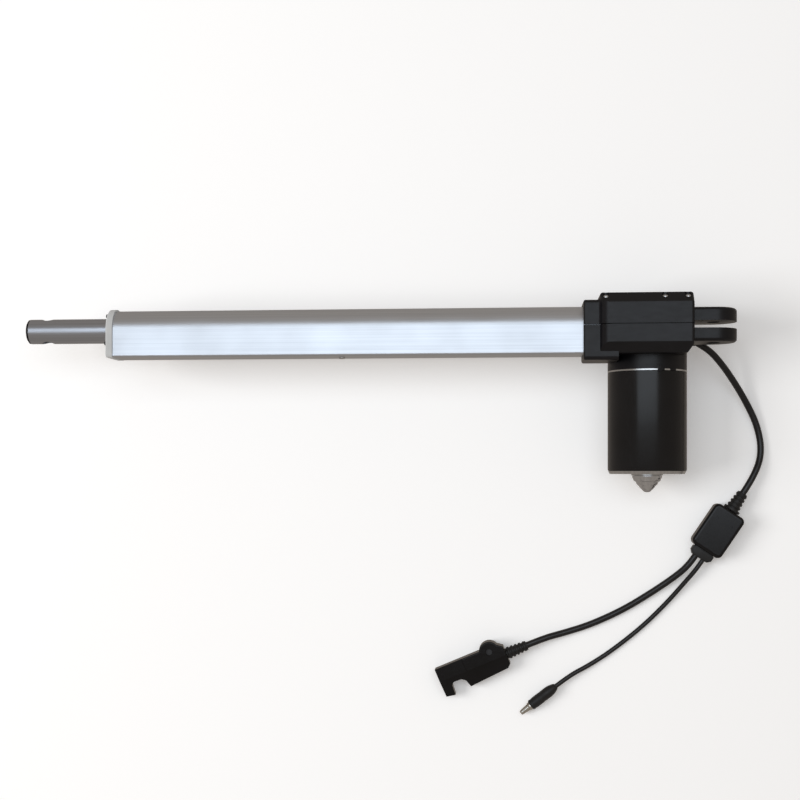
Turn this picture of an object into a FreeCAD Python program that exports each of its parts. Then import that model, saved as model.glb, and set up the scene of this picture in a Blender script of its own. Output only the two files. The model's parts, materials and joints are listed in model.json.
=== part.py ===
import FreeCAD, Part
import math
import os
import Sketcher
from FreeCAD import Placement, Rotation, Vector

# Linear actuator, millimetres.
# The origin is the centre of the rear clevis bore, whose axis is Y.
# The rod slides out along -X.  The motor hangs down along -Y, and the can lies
# on the plane z = floor, which is also where the cables and plugs lie.

DIMENSIONS = {
    # stations along the stroke axis
    "x_rod_tip": -552.3,
    "x_cross_hole": -536.0,
    "x_cap_face": -483.5,
    "x_tube_front": -478.0,
    "x_tube_rear": -87.0,
    "x_tube_screw": -294.0,
    "x_collar": -102.0,
    "x_block_front": -89.5,
    "x_block_rear": -17.5,
    "x_wheel": -49.0,
    "x_clevis_end": 18.0,
    # rod, nut and spindle
    "rod_radius": 10.0,
    "rod_bore": 8.0,
    "cross_hole_radius": 5.1,
    "spindle_radius": 6.0,
    "journal_radius": 5.0,
    "nut_length": 34.0,
    "nut_front": -172.0,
    # tube: a round top with a flat floor
    "tube_radius": 16.0,
    "tube_floor": 22.5,
    "tube_wall": 2.0,
    "tube_corner": 1.5,
    # gearbox
    "block_top": 24.8,
    "block_bottom": 22.0,
    "block_near": 26.0,
    "block_far": 38.0,
    "block_bevel": 8.0,
    "gasket_thickness": 0.6,
    "collar_top": 19.5,
    "collar_bottom": 27.5,
    "collar_half_width": 20.0,
    "worm_depth": 25.0,
    "wheel_width": 14.0,
    "wheel_root": 17.7,
    "wheel_tip": 20.4,
    "worm_root": 4.2,
    "worm_tip": 6.6,
    "worm_pitch": 4.7124,
    "bearing_radius": 13.0,
    "bearing_width": 8.0,
    # rear clevis
    "clevis_radius": 18.0,
    "clevis_gap": 2.9,
    "clevis_half": 13.3,
    # motor
    "can_radius": 31.5,
    "can_wall": 2.0,
    "y_neck": -33.5,
    "y_can_top": -34.7,
    "y_can_end": -114.0,
    "y_nose_end": -131.2,
    "shaft_radius": 4.0,
    "core_radius": 23.4,
    # cables
    "floor": -56.5,
    "thick_cable": 2.7,
    "thin_cable": 1.9,
}

AXES = {"x": Vector(1, 0, 0), "y": Vector(0, 1, 0), "z": Vector(0, 0, 1)}
# The origin plane square to each axis, and the side of it that its sketches face.
PLANES = {"x": ("YZ_Plane", 1), "y": ("XZ_Plane", -1), "z": ("XY_Plane", 1)}


class Size:
    """A length that keeps the spreadsheet expression it comes from."""

    def __init__(self, value, text):
        self.value = value
        self.text = text

    def __add__(self, other):
        other = size(other)
        return Size(self.value + other.value, f"({self.text} + {other.text})")

    def __radd__(self, other):
        return size(other) + self

    def __sub__(self, other):
        other = size(other)
        return Size(self.value - other.value, f"({self.text} - {other.text})")

    def __rsub__(self, other):
        return size(other) - self

    def __mul__(self, other):
        other = size(other)
        return Size(self.value * other.value, f"({self.text} * {other.text})")

    def __rmul__(self, other):
        return size(other) * self

    def __truediv__(self, other):
        other = size(other)
        return Size(self.value / other.value, f"({self.text} / {other.text})")

    def __neg__(self):
        return Size(-self.value, f"(0 - {self.text})")


def size(number):
    if isinstance(number, Size):
        return number
    return Size(float(number), f"({float(number):.6f})")


def make_sheet(document):
    sheet = document.addObject("Spreadsheet::Sheet", "dims")
    for row, (alias, number) in enumerate(DIMENSIONS.items(), start=1):
        sheet.set(f"A{row}", alias)
        sheet.set(f"B{row}", str(number))
        sheet.setAlias(f"B{row}", alias)
    document.recompute()
    return sheet


class Cells:
    """The driving dimensions, each readable by its alias."""

    def __init__(self, names):
        for alias, number in names.items():
            setattr(self, alias, Size(number, f"dims.{alias}"))


# Radial play of a running fit, and of a part that is pressed or clamped in place.
RUNNING_PLAY = 0.05
# Sketches for through cuts start this far outside the material.
OUTSIDE = 1.0

doc = FreeCAD.newDocument("linear_actuator")
make_sheet(doc)
d = Cells(DIMENSIONS)
parts = {}


# ---------------------------------------------------------------- helpers

def bind(thing, name, amount):
    """Tie one property to the sheet."""
    thing.setExpression(name, size(amount).text)


def place(thing, base, rotation=None):
    """Put a thing at base and tie each coordinate to the sheet."""
    numbers = [size(c) for c in base]
    thing.Placement = Placement(Vector(*[n.value for n in numbers]), rotation or Rotation())
    for letter, number in zip("xyz", numbers):
        thing.setExpression(f"Placement.Base.{letter}", number.text)


def along(axis):
    """The rotation that lays a primitive's own Z on a main axis."""
    return Rotation(Vector(0, 0, 1), AXES[axis])


def turned_by(angle):
    """A turn about Z, in degrees."""
    return Rotation(Vector(0, 0, 1), angle)


def keep(name, thing):
    """Name a finished sub-part."""
    thing.Label = name
    parts[name] = thing
    return thing


def cylinder(radius, length, base, axis):
    rod = doc.addObject("Part::Cylinder", "round")
    bind(rod, "Radius", radius)
    bind(rod, "Height", length)
    place(rod, base, along(axis))
    return rod


def cone(radius_a, radius_b, length, base, rotation):
    taper = doc.addObject("Part::Cone", "taper")
    bind(taper, "Radius1", radius_a)
    bind(taper, "Radius2", radius_b)
    bind(taper, "Height", length)
    place(taper, base, rotation)
    return taper


def box(low, high):
    low = [size(c) for c in low]
    high = [size(c) for c in high]
    block = doc.addObject("Part::Box", "block")
    for name, a, b in zip(("Length", "Width", "Height"), low, high):
        bind(block, name, b - a)
    place(block, low)
    return block


def sphere(radius, centre):
    ball = doc.addObject("Part::Sphere", "ball")
    bind(ball, "Radius", radius)
    place(ball, centre)
    return ball


def cut(base, tool):
    result = doc.addObject("Part::Cut", "cut")
    result.Base = base
    result.Tool = tool
    return result


def fuse(shapes):
    result = doc.addObject("Part::MultiFuse", "fusion")
    result.Shapes = shapes
    return result


def group(shapes):
    """Separate solids that share one node."""
    result = doc.addObject("Part::Compound", "group")
    result.Links = shapes
    return result


def ring(outer, inner, length, base, axis):
    return cut(cylinder(outer, length, base, axis), cylinder(inner, length, base, axis))


def new_body(name):
    body = doc.addObject("PartDesign::Body", name)
    keep(name, body)
    return body


def sketch_on(body, axis, station):
    """A sketch square to an axis.  Its own x and y are the two other axes in order."""
    role, side = PLANES[axis]
    plane = [f for f in body.Origin.OriginFeatures if f.Role == role][0]
    sketch = body.newObject("Sketcher::SketchObject", "sketch")
    sketch.AttachmentSupport = [(plane, "")]
    sketch.MapMode = "FlatFace"
    bind(sketch, "AttachmentOffset.Base.z", size(station) * side)
    return sketch


def fix_point(sketch, line, end, x, y):
    """Tie one end of a line to the sheet."""
    for kind, amount in (("DistanceX", x), ("DistanceY", y)):
        amount = size(amount)
        index = sketch.addConstraint(Sketcher.Constraint(kind, -1, 1, line, end, amount.value))
        sketch.setExpression(f"Constraints[{index}]", amount.text)


def rectangle(x_low, y_low, x_high, y_high):
    return [(x_low, y_low), (x_high, y_low), (x_high, y_high), (x_low, y_high)]


def draw_lines(sketch, corners):
    """A closed outline of straight lines."""
    corners = [(size(x), size(y)) for x, y in corners]
    first = sketch.GeometryCount
    count = len(corners)
    ends = [Vector(x.value, y.value, 0) for x, y in corners]
    for here, following in zip(ends, ends[1:] + ends[:1]):
        sketch.addGeometry(Part.LineSegment(here, following), False)
    for i in range(count):
        next_line = first + (i + 1) % count
        sketch.addConstraint(Sketcher.Constraint("Coincident", first + i, 2, next_line, 1))
    for i, (x, y) in enumerate(corners):
        fix_point(sketch, first + i, 1, x, y)
    return sketch


def draw_circle(sketch, x, y, radius):
    x, y, radius = size(x), size(y), size(radius)
    circle = Part.Circle(Vector(x.value, y.value, 0), Vector(0, 0, 1), radius.value)
    index = sketch.addGeometry(circle, False)
    number = sketch.addConstraint(Sketcher.Constraint("Radius", index, radius.value))
    sketch.setExpression(f"Constraints[{number}]", radius.text)
    fix_point(sketch, index, 3, x, y)
    return sketch


def draw_arch(sketch, radius, floor):
    """The tube's section in a sketch square to X: a half circle over a flat floor."""
    radius, floor = size(radius), size(floor)
    r, f = radius.value, floor.value
    half = Part.ArcOfCircle(Part.Circle(Vector(0, 0, 0), Vector(0, 0, 1), r), -math.pi / 2, math.pi / 2)
    arc = sketch.addGeometry(half, False)
    far = [Vector(0, r, 0), Vector(-f, r, 0), Vector(-f, -r, 0), Vector(0, -r, 0)]
    lines = [sketch.addGeometry(Part.LineSegment(a, b), False) for a, b in zip(far, far[1:])]
    add = sketch.addConstraint
    add(Sketcher.Constraint("Coincident", arc, 3, -1, 1))
    number = add(Sketcher.Constraint("Radius", arc, r))
    sketch.setExpression(f"Constraints[{number}]", radius.text)
    add(Sketcher.Constraint("Coincident", arc, 2, lines[0], 1))
    add(Sketcher.Constraint("Coincident", lines[0], 2, lines[1], 1))
    add(Sketcher.Constraint("Coincident", lines[1], 2, lines[2], 1))
    add(Sketcher.Constraint("Coincident", lines[2], 2, arc, 1))
    add(Sketcher.Constraint("Horizontal", lines[0]))
    add(Sketcher.Constraint("Vertical", lines[1]))
    add(Sketcher.Constraint("Horizontal", lines[2]))
    add(Sketcher.Constraint("PointOnObject", lines[0], 1, -2))
    number = add(Sketcher.Constraint("DistanceX", -1, 1, lines[1], 1, -f))
    sketch.setExpression(f"Constraints[{number}]", (-floor).text)
    return sketch


def pad(body, axis, sketch, length):
    """Add material from the sketch toward +axis."""
    feature = body.newObject("PartDesign::Pad", "pad")
    feature.Profile = sketch
    bind(feature, "Length", length)
    feature.Reversed = PLANES[axis][1] < 0
    doc.recompute()
    return feature


def pocket(body, axis, sketch, length):
    """Remove material from the sketch toward +axis, and see that some went."""
    before = body.Shape.Volume
    feature = body.newObject("PartDesign::Pocket", "pocket")
    feature.Profile = sketch
    bind(feature, "Length", length)
    feature.Reversed = PLANES[axis][1] > 0
    doc.recompute()
    if not body.Shape.Volume < before - 0.01:
        raise RuntimeError(f"{body.Label}: the pocket {feature.Name} removed nothing")
    return feature


def turn(body, kind, sketch, axis_name="H_Axis"):
    """Revolve a sketch about one of its own axes, adding or removing."""
    before = body.Shape.Volume if kind == "Groove" else 0.0
    feature = body.newObject(f"PartDesign::{kind}", kind.lower())
    feature.Profile = sketch
    feature.ReferenceAxis = (sketch, [axis_name])
    feature.Angle = 360
    doc.recompute()
    if kind == "Groove" and not body.Shape.Volume < before - 0.01:
        raise RuntimeError(f"{body.Label}: the groove removed nothing")
    return feature


def dress(body, kind, amount, wanted):
    """Fillet or chamfer the edges that the test picks out."""
    tip = body.Tip
    names = [f"Edge{i}" for i, edge in enumerate(tip.Shape.Edges, start=1) if wanted(edge)]
    feature = body.newObject(f"PartDesign::{kind}", kind.lower())
    feature.Base = (tip, names)
    bind(feature, "Radius" if kind == "Fillet" else "Size", amount)
    doc.recompute()
    if "Invalid" in feature.State or body.Shape.Volume < 1:
        raise RuntimeError(f"{body.Label}: {kind} of {size(amount).value} failed on {len(names)} edges")
    return feature


def straight(edge, axis):
    """True for a straight edge that runs along an axis."""
    ends = [v.Point for v in edge.Vertexes]
    if len(ends) != 2:
        return False
    span = ends[1] - ends[0]
    if abs(edge.Length - span.Length) > 0.001:
        return False
    return abs(span.normalize().dot(AXES[axis])) > 0.999


def middle(edge):
    return edge.CenterOfMass


SPRING_GROOVE_WIDTH = 0.2
SPRING_GROOVE_DEPTH = 0.35


def wound_tube(outer, inner, pitch, turns, base, axis):
    """A close-wound coil spring, drawn as a tube with a groove between its turns."""
    tube = ring(outer, inner, size(pitch) * turns, base, axis)
    step = AXES[axis]
    grooves = []
    for i in range(1, turns):
        reach = size(pitch) * i - SPRING_GROOVE_WIDTH / 2
        corner = [size(c) + reach * step[k] for k, c in enumerate(base)]
        floor = size(outer) - SPRING_GROOVE_DEPTH
        grooves.append(ring(size(outer) + OUTSIDE, floor, SPRING_GROOVE_WIDTH, corner, axis))
    return cut(tube, group(grooves))


# ---------------------------------------------------------------- tube and rod

TUBE_SCREW_RADIUS = 1.45


def outer_tube():
    body = new_body("outer_tube")
    length = d.x_tube_rear - d.x_tube_front
    pad(body, "x", draw_arch(sketch_on(body, "x", d.x_tube_front), d.tube_radius, d.tube_floor), length)
    dress(body, "Fillet", d.tube_corner,
          lambda e: straight(e, "x") and at(middle(e).y, -d.tube_floor))
    inside = sketch_on(body, "x", d.x_tube_front)
    draw_arch(inside, d.tube_radius - d.tube_wall, d.tube_floor - d.tube_wall)
    pocket(body, "x", inside, length)
    screw_hole = sketch_on(body, "y", -d.tube_floor - OUTSIDE)
    draw_circle(screw_hole, d.x_tube_screw, 0, TUBE_SCREW_RADIUS + 0.15)
    pocket(body, "y", screw_hole, d.tube_wall + OUTSIDE + 0.5)


CAP_LIP = 1.3
CAP_SOLE = 0.3
CAP_CORNER = 2.5
CAP_LENGTH = 5.5
CAP_SPIGOT = 7.0
CAP_SCREW_SHANK = 1.0
CAP_SCREW_HEAD = 1.75
CAP_SCREW_HEIGHT = 1.5
SEAL_WIDTH = 2.15
SEAL_LENGTH = 2.6


def front_cap():
    body = new_body("front_cap")
    flange = sketch_on(body, "x", d.x_cap_face)
    pad(body, "x", draw_arch(flange, d.tube_radius + CAP_LIP, d.tube_floor + CAP_SOLE),
        d.x_tube_front - d.x_cap_face)
    dress(body, "Fillet", CAP_CORNER, lambda e: straight(e, "x") and middle(e).y < -d.tube_floor.value)
    spigot = sketch_on(body, "x", d.x_tube_front)
    shrink = d.tube_wall + 0.1
    pad(body, "x", draw_arch(spigot, d.tube_radius - shrink, d.tube_floor - shrink), CAP_SPIGOT)
    dress(body, "Fillet", 1.2, lambda e: at(middle(e).x, d.x_cap_face))
    rod_hole = sketch_on(body, "x", d.x_cap_face)
    draw_circle(rod_hole, 0, 0, d.rod_radius + 0.6)
    pocket(body, "x", rod_hole, CAP_SPIGOT + CAP_LENGTH + OUTSIDE)
    seal_seat = sketch_on(body, "x", d.x_cap_face)
    draw_circle(seal_seat, 0, 0, d.rod_radius + SEAL_WIDTH + 0.05)
    pocket(body, "x", seal_seat, SEAL_LENGTH + 0.4)
    for angle in CAP_SCREW_ANGLES:
        y, z = cap_screw_at(angle)
        hole = sketch_on(body, "x", d.x_cap_face)
        draw_circle(hole, y, z, CAP_SCREW_SHANK + RUNNING_PLAY)
        pocket(body, "x", hole, CAP_LENGTH)


# The cap's four screws sit between the rod's seal and the cap's rim.
CAP_SCREW_ANGLES = (40, -40, 128, -128)


def cap_screw_at(angle):
    """The place of a cap screw, measured from straight up."""
    radius = 14.4 if abs(angle) < 90 else 18.0
    return radius * math.cos(math.radians(angle)), radius * math.sin(math.radians(angle))


def cap_screws():
    screws = []
    for angle in CAP_SCREW_ANGLES:
        y, z = cap_screw_at(angle)
        head = cylinder(CAP_SCREW_HEAD, CAP_SCREW_HEIGHT, (d.x_cap_face - CAP_SCREW_HEIGHT, y, z), "x")
        shank = cylinder(CAP_SCREW_SHANK, CAP_LENGTH - 0.2, (d.x_cap_face, y, z), "x")
        screws.append(fuse([head, shank]))
    keep("cap_screws", group(screws))


ROD_GUIDE_LENGTH = 18.0
# The rod reaches this far into the nut.
NUT_SOCKET = 12.0
# The black flange that closes the rod's tip, with its edge bevelled back.
PLUG_FLANGE = 2.2
PLUG_BEVEL = 0.9
PLUG_STEM = 30.0


def rod_parts():
    slide = d.rod_radius + RUNNING_PLAY
    keep("wiper_seal", ring(d.rod_radius + SEAL_WIDTH, slide, SEAL_LENGTH, (d.x_cap_face + 0.2, 0, 0), "x"))
    guide_front = (d.x_tube_front + CAP_SPIGOT + 0.2, 0, 0)
    keep("rod_guide", ring(d.tube_radius - d.tube_wall - 0.05, slide, ROD_GUIDE_LENGTH, guide_front, "x"))
    # The rod is a tube with a cross hole near its tip.
    body = new_body("inner_rod")
    rod_rear = d.nut_front + NUT_SOCKET
    wall = sketch_on(body, "x", d.x_rod_tip + PLUG_FLANGE)
    draw_circle(wall, 0, 0, d.rod_radius)
    draw_circle(wall, 0, 0, d.rod_bore)
    pad(body, "x", wall, rod_rear - d.x_rod_tip - PLUG_FLANGE)
    cross = sketch_on(body, "y", -d.rod_radius - 1)
    draw_circle(cross, d.x_cross_hole, 0, d.cross_hole_radius)
    pocket(body, "y", cross, d.rod_radius * 2 + 2)
    # The black plug closes the tip, fills the bore as far back as the cross hole
    # needs, and is drilled through with it.
    rim = d.rod_radius - 0.2
    face = cone(rim - 1.2, rim, PLUG_BEVEL, (d.x_rod_tip, 0, 0), along("x"))
    flange = cylinder(rim, PLUG_FLANGE - PLUG_BEVEL, (d.x_rod_tip + PLUG_BEVEL, 0, 0), "x")
    stem = cylinder(d.rod_bore - 0.02, PLUG_STEM, (d.x_rod_tip + PLUG_FLANGE, 0, 0), "x")
    drill = cylinder(d.cross_hole_radius, d.rod_radius * 2, (d.x_cross_hole, -d.rod_radius, 0), "y")
    keep("rod_end_plug", cut(fuse([face, flange, stem]), drill))


# The nut clears the tube's inside by this much, and its slot clears the switch strip.
NUT_CLEAR = 0.4
NUT_SLOT_CEILING = -11.8
NUT_SLOT_HALF = 6.5


def nut():
    """The drive nut: keyed to the tube by its own outline, with a slot over the switch strip."""
    body = new_body("drive_nut")
    # The rod's rear end sits in the nut's front socket.
    outline = sketch_on(body, "x", d.nut_front)
    nut_floor = d.tube_floor - d.tube_wall - NUT_CLEAR
    pad(body, "x", draw_arch(outline, d.tube_radius - d.tube_wall - NUT_CLEAR, nut_floor), d.nut_length)
    socket = sketch_on(body, "x", d.nut_front)
    draw_circle(socket, 0, 0, d.rod_radius)
    pocket(body, "x", socket, NUT_SOCKET)
    thread = sketch_on(body, "x", d.nut_front)
    draw_circle(thread, 0, 0, d.spindle_radius + RUNNING_PLAY)
    pocket(body, "x", thread, d.nut_length)
    slot = sketch_on(body, "x", d.nut_front)
    draw_lines(slot, rectangle(-nut_floor - OUTSIDE, -NUT_SLOT_HALF, NUT_SLOT_CEILING, NUT_SLOT_HALF))
    pocket(body, "x", slot, d.nut_length)


# ---------------------------------------------------------------- spindle and gears

SPINDLE_FRONT = -445.0
SPINDLE_REAR = -28.6
BEARING_FRONT = -76.5
BUSH_RADIUS = 8.0
BUSH_LENGTH = 4.4
BUSH_PLAY = 0.04
SPINDLE_NOSE = 6.0
SPINDLE_NOSE_RADIUS = 4.0
DRUM_RADIUS = 8.5
DRUM_LENGTH = 8.5
BALL_COUNT = 9
BALL_RADIUS = 2.4
RACE_WALL = 2.6


def spindle():
    body = new_body("spindle")
    profile = sketch_on(body, "z", 0)
    journal_start = size(BEARING_FRONT - 0.5)
    draw_lines(profile, [
        (SPINDLE_FRONT, 0), (SPINDLE_REAR, 0), (SPINDLE_REAR, d.journal_radius),
        (journal_start, d.journal_radius), (journal_start, d.spindle_radius),
        (SPINDLE_FRONT + SPINDLE_NOSE, d.spindle_radius),
        (SPINDLE_FRONT + SPINDLE_NOSE, SPINDLE_NOSE_RADIUS),
        (SPINDLE_FRONT, SPINDLE_NOSE_RADIUS),
    ])
    turn(body, "Revolution", profile)
    # The tip disc keeps the long spindle centred in the rod.
    disc_length = SPINDLE_NOSE - 0.4
    keep("spindle_tip_disc",
         ring(d.rod_bore - 0.08, SPINDLE_NOSE_RADIUS, disc_length, (SPINDLE_FRONT + 0.2, 0, 0), "x"))


def spindle_bearing():
    front = size(BEARING_FRONT)
    # Half-round ball tracks run round the middle of each race.
    track_radius = (d.bearing_radius + d.journal_radius) / 2
    centre = front + d.bearing_width / 2

    def track():
        groove = doc.addObject("Part::Torus", "track")
        bind(groove, "Radius1", track_radius)
        bind(groove, "Radius2", BALL_RADIUS + RUNNING_PLAY)
        place(groove, (centre, 0, 0), along("x"))
        return groove

    outer = ring(d.bearing_radius, d.bearing_radius - RACE_WALL, d.bearing_width, (front, 0, 0), "x")
    inner = ring(d.journal_radius + RACE_WALL, d.journal_radius, d.bearing_width, (front, 0, 0), "x")
    keep("bearing_outer_race", cut(outer, track()))
    keep("bearing_inner_race", cut(inner, track()))
    balls = []
    for i in range(BALL_COUNT):
        angle = 2 * math.pi * i / BALL_COUNT
        y = track_radius * math.cos(angle)
        z = track_radius * math.sin(angle)
        balls.append(sphere(BALL_RADIUS, (centre, y, z)))
    keep("bearing_balls", group(balls))
    bush_front = SPINDLE_REAR - BUSH_LENGTH - 0.2
    keep("rear_bush", ring(BUSH_RADIUS, d.journal_radius + BUSH_PLAY, BUSH_LENGTH, (bush_front, 0, 0), "x"))


WHEEL_TEETH = 26
# Half the width of a wheel tooth at its root and at its tip.
HALF_ROOT = 1.05
HALF_TIP = 0.62


def tooth_section(body, station, turn_angle):
    """One wheel tooth's trapezium, centred on -Z and turned about X."""
    root, tip = d.wheel_root.value - 0.3, d.wheel_tip.value
    corners = []
    for across, out in ((-HALF_ROOT, root), (-HALF_TIP, tip), (HALF_TIP, tip), (HALF_ROOT, root)):
        y = across * math.cos(turn_angle) - out * math.sin(turn_angle)
        z = -across * math.sin(turn_angle) - out * math.cos(turn_angle)
        corners.append((y, z))
    return draw_lines(sketch_on(body, "x", station), corners)


def worm_wheel():
    body = new_body("worm_wheel")
    front = d.x_wheel - d.wheel_width / 2
    blank = sketch_on(body, "x", front)
    draw_circle(blank, 0, 0, d.wheel_root)
    draw_circle(blank, 0, 0, d.journal_radius)
    pad(body, "x", blank, d.wheel_width)
    # The drum behind the wheel carries the brake spring.
    drum = sketch_on(body, "x", front + d.wheel_width)
    draw_circle(drum, 0, 0, DRUM_RADIUS)
    draw_circle(drum, 0, 0, d.journal_radius)
    pad(body, "x", drum, DRUM_LENGTH)
    # Each tooth leans by the worm's lead angle across the face.
    lead_angle = math.atan(d.worm_pitch.value / (2 * math.pi * WORM_PITCH_RADIUS))
    lean = math.tan(lead_angle) * d.wheel_width.value / WHEEL_PITCH_RADIUS
    tooth = body.newObject("PartDesign::AdditiveLoft", "tooth")
    tooth.Profile = tooth_section(body, front, lean / 2)
    tooth.Sections = [(tooth_section(body, front + d.wheel_width, -lean / 2), [""])]
    tooth.Ruled = True
    doc.recompute()
    teeth = body.newObject("PartDesign::PolarPattern", "teeth")
    teeth.Originals = [tooth]
    teeth.Axis = ([f for f in body.Origin.OriginFeatures if f.Role == "X_Axis"][0], [""])
    teeth.Angle = 360
    teeth.Occurrences = WHEEL_TEETH
    body.Tip = teeth
    doc.recompute()


def brake():
    """The wrap spring that holds the spindle still under load."""
    keep("brake_spring", wound_tube(DRUM_RADIUS + 2.0, DRUM_RADIUS + 0.3, 1.5, 4,
                                    (d.x_wheel + d.wheel_width / 2 + 1.3, 0, 0), "x"))


WORM_PITCH_RADIUS = 5.5
WHEEL_PITCH_RADIUS = 19.5
# Stations along the motor's axis.
SHAFT_END = -122.2
WORM_LOW = -13.0
WORM_HIGH = 12.0
SHAFT_TOP = 19.0
# Half the width of the worm's thread at its foot and crest.
THREAD_FOOT = 1.25
THREAD_CREST = 0.45
WORM_TURNS = 4.5


def worm_shaft():
    """The armature's steel shaft, whose upper end is the worm."""
    body = new_body("worm_shaft")
    # Drawn round the body's own Z, then laid along Y at the worm's place.
    profile = sketch_on(body, "y", 0)
    draw_lines(profile, [
        (0, SHAFT_END), (d.shaft_radius, SHAFT_END), (d.shaft_radius, WORM_LOW), (d.worm_root, WORM_LOW),
        (d.worm_root, WORM_HIGH), (d.shaft_radius, WORM_HIGH), (d.shaft_radius, SHAFT_TOP), (0, SHAFT_TOP),
    ])
    turn(body, "Revolution", profile, "V_Axis")
    thread = sketch_on(body, "y", 0)
    inner = d.worm_root - 0.2
    # A wheel tooth points at the worm at rest, so the thread leaves a space there.
    first = d.worm_pitch * (-WORM_TURNS / 2)
    draw_lines(thread, [
        (inner, first - THREAD_FOOT), (d.worm_tip, first - THREAD_CREST),
        (d.worm_tip, first + THREAD_CREST), (inner, first + THREAD_FOOT),
    ])
    helix = body.newObject("PartDesign::AdditiveHelix", "thread")
    helix.Profile = thread
    helix.ReferenceAxis = (thread, ["V_Axis"])
    helix.Mode = 1
    bind(helix, "Pitch", d.worm_pitch)
    helix.Turns = WORM_TURNS
    doc.recompute()
    place(body, (d.x_wheel, 0, -d.worm_depth), Rotation(Vector(1, 0, 0), -90))


# ---------------------------------------------------------------- gearbox housing

SCREW_STATIONS = (-85.0, -39.5, -22.0)
SCREW_NEAR = 20.8
SCREW_FAR = -32.5
SCREW_HEAD_TOP = 22.3
SCREW_HEAD_RADIUS = 2.2
SCREW_HEAD_HEIGHT = 2.0
SCREW_SHANK_RADIUS = 1.5
SCREW_SHANK_LENGTH = 32.0
SCREW_PILOT_FLOOR = -14.0
WHEEL_ROOM = 21.0
WORM_ROOM = 8.2
BRAKE_ROOM = 12.0
WORM_BUSH_RADIUS = 6.0
MOTOR_BEARING_RADIUS = 11.0
# A pressed-in part is this much smaller than its seat, all round.
SEAT_PLAY = 0.03
BOSS_REAR = -75.0
BLOCK_ROUND = 2.4
BLOCK_FRONT_ROUND = 7.5
CORNER_RISE = 6.5
CORNER_RUN = 5.0
COLLAR_ROUND = 3.0
COLLAR_MOUTH = 1.4
COLLAR_HOLLOW = 2.2


def bore_out(body):
    """The stepped hole on the stroke axis: bearing seat, wheel room, brake room, bush seat."""
    steps = sketch_on(body, "z", 0)
    bearing_front = size(BEARING_FRONT - 0.05)
    wheel_front = d.x_wheel - d.wheel_width / 2 - 1
    wheel_rear = d.x_wheel + d.wheel_width / 2 + 1
    bush_front = size(SPINDLE_REAR - BUSH_LENGTH - 0.25)
    spindle_clear = d.spindle_radius + 1.5
    bearing_seat = d.bearing_radius + SEAT_PLAY
    bush_seat = BUSH_RADIUS + SEAT_PLAY
    draw_lines(steps, [
        (d.x_collar - OUTSIDE, 0), (d.x_collar - OUTSIDE, spindle_clear), (bearing_front, spindle_clear),
        (bearing_front, bearing_seat), (wheel_front, bearing_seat), (wheel_front, WHEEL_ROOM),
        (wheel_rear, WHEEL_ROOM), (wheel_rear, BRAKE_ROOM), (bush_front, BRAKE_ROOM),
        (bush_front, bush_seat), (SPINDLE_REAR + 0.4, bush_seat), (SPINDLE_REAR + 0.4, 0),
    ])
    turn(body, "Groove", steps)


def tube_socket(body):
    """The pocket in the collar that the tube's rear end is clamped in."""
    socket = sketch_on(body, "x", d.x_collar - OUTSIDE)
    draw_arch(socket, d.tube_radius + 0.12, d.tube_floor + 0.12)
    pocket(body, "x", socket, d.x_tube_rear - d.x_collar + OUTSIDE + 0.1)


def clevis_pocket(body):
    """The stepped pocket that holds the clevis root, open to the rear."""
    play = 0.15
    half_width = CLEVIS_HALF_WIDTH + play
    wide = sketch_on(body, "x", CLEVIS_FRONT - play)
    reach = CLEVIS_FLANGE + play
    draw_lines(wide, rectangle(-reach, -half_width, reach, half_width))
    pocket(body, "x", wide, CLEVIS_STEP + play * 2)
    narrow = sketch_on(body, "x", CLEVIS_FRONT + CLEVIS_STEP)
    reach = d.clevis_half + play
    draw_lines(narrow, rectangle(-reach, -half_width, reach, half_width))
    pocket(body, "x", narrow, d.x_block_rear - (CLEVIS_FRONT + CLEVIS_STEP) + OUTSIDE)


def screw_places():
    return [(x, z) for x in SCREW_STATIONS for z in (SCREW_NEAR, SCREW_FAR)]


def round_hole(body, axis, station, x, y, radius, length):
    """A plain round hole cut from a station toward +axis."""
    hole = sketch_on(body, axis, station)
    draw_circle(hole, x, y, radius)
    pocket(body, axis, hole, length)


def at(number, target):
    return abs(number - size(target).value) < 0.01


def housing_block(name, side):
    """Half of the gearbox block, bevelled and rounded.  Side is 1 above the split, -1 below."""
    body = new_body(name)
    split = d.gasket_thickness / 2 * side
    outer = d.block_top if side > 0 else -d.block_bottom
    near, far, bevel = d.block_near, -d.block_far, d.block_bevel
    block = sketch_on(body, "x", d.x_block_front)
    draw_lines(block, [
        (split, far), (outer, far), (outer, near - bevel + 1), (outer - bevel * side, near), (split, near),
    ])
    pad(body, "x", block, d.x_block_rear - d.x_block_front)
    dress(body, "Fillet", BLOCK_FRONT_ROUND,
          lambda e: straight(e, "y") and at(middle(e).z, near) and at(middle(e).x, d.x_block_front))
    # The front face's rim runs on round the big corner, so only its long edge is named.
    dress(body, "Fillet", BLOCK_ROUND, lambda e: at(middle(e).x, d.x_block_front) and at(middle(e).y, outer))
    dress(body, "Fillet", BLOCK_ROUND,
          lambda e: (at(middle(e).x, d.x_block_rear) and not at(middle(e).y, split)
                     and not at(middle(e).z, far)))
    return body


def add_collar(body, low, high, rear, split):
    """The square collar that grips the tube, with a rounded mouth."""
    collar = sketch_on(body, "y", low)
    half = d.collar_half_width
    draw_lines(collar, rectangle(d.x_collar, -half, rear, half))
    pad(body, "y", collar, high - low)
    rear_of_corner = size(rear).value - 8
    dress(body, "Fillet", COLLAR_ROUND,
          lambda e: straight(e, "x") and at(abs(middle(e).z), half) and not at(middle(e).y, split)
          and middle(e).x < rear_of_corner)
    dress(body, "Fillet", COLLAR_MOUTH, lambda e: at(middle(e).x, d.x_collar) and not at(middle(e).y, split))


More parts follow.
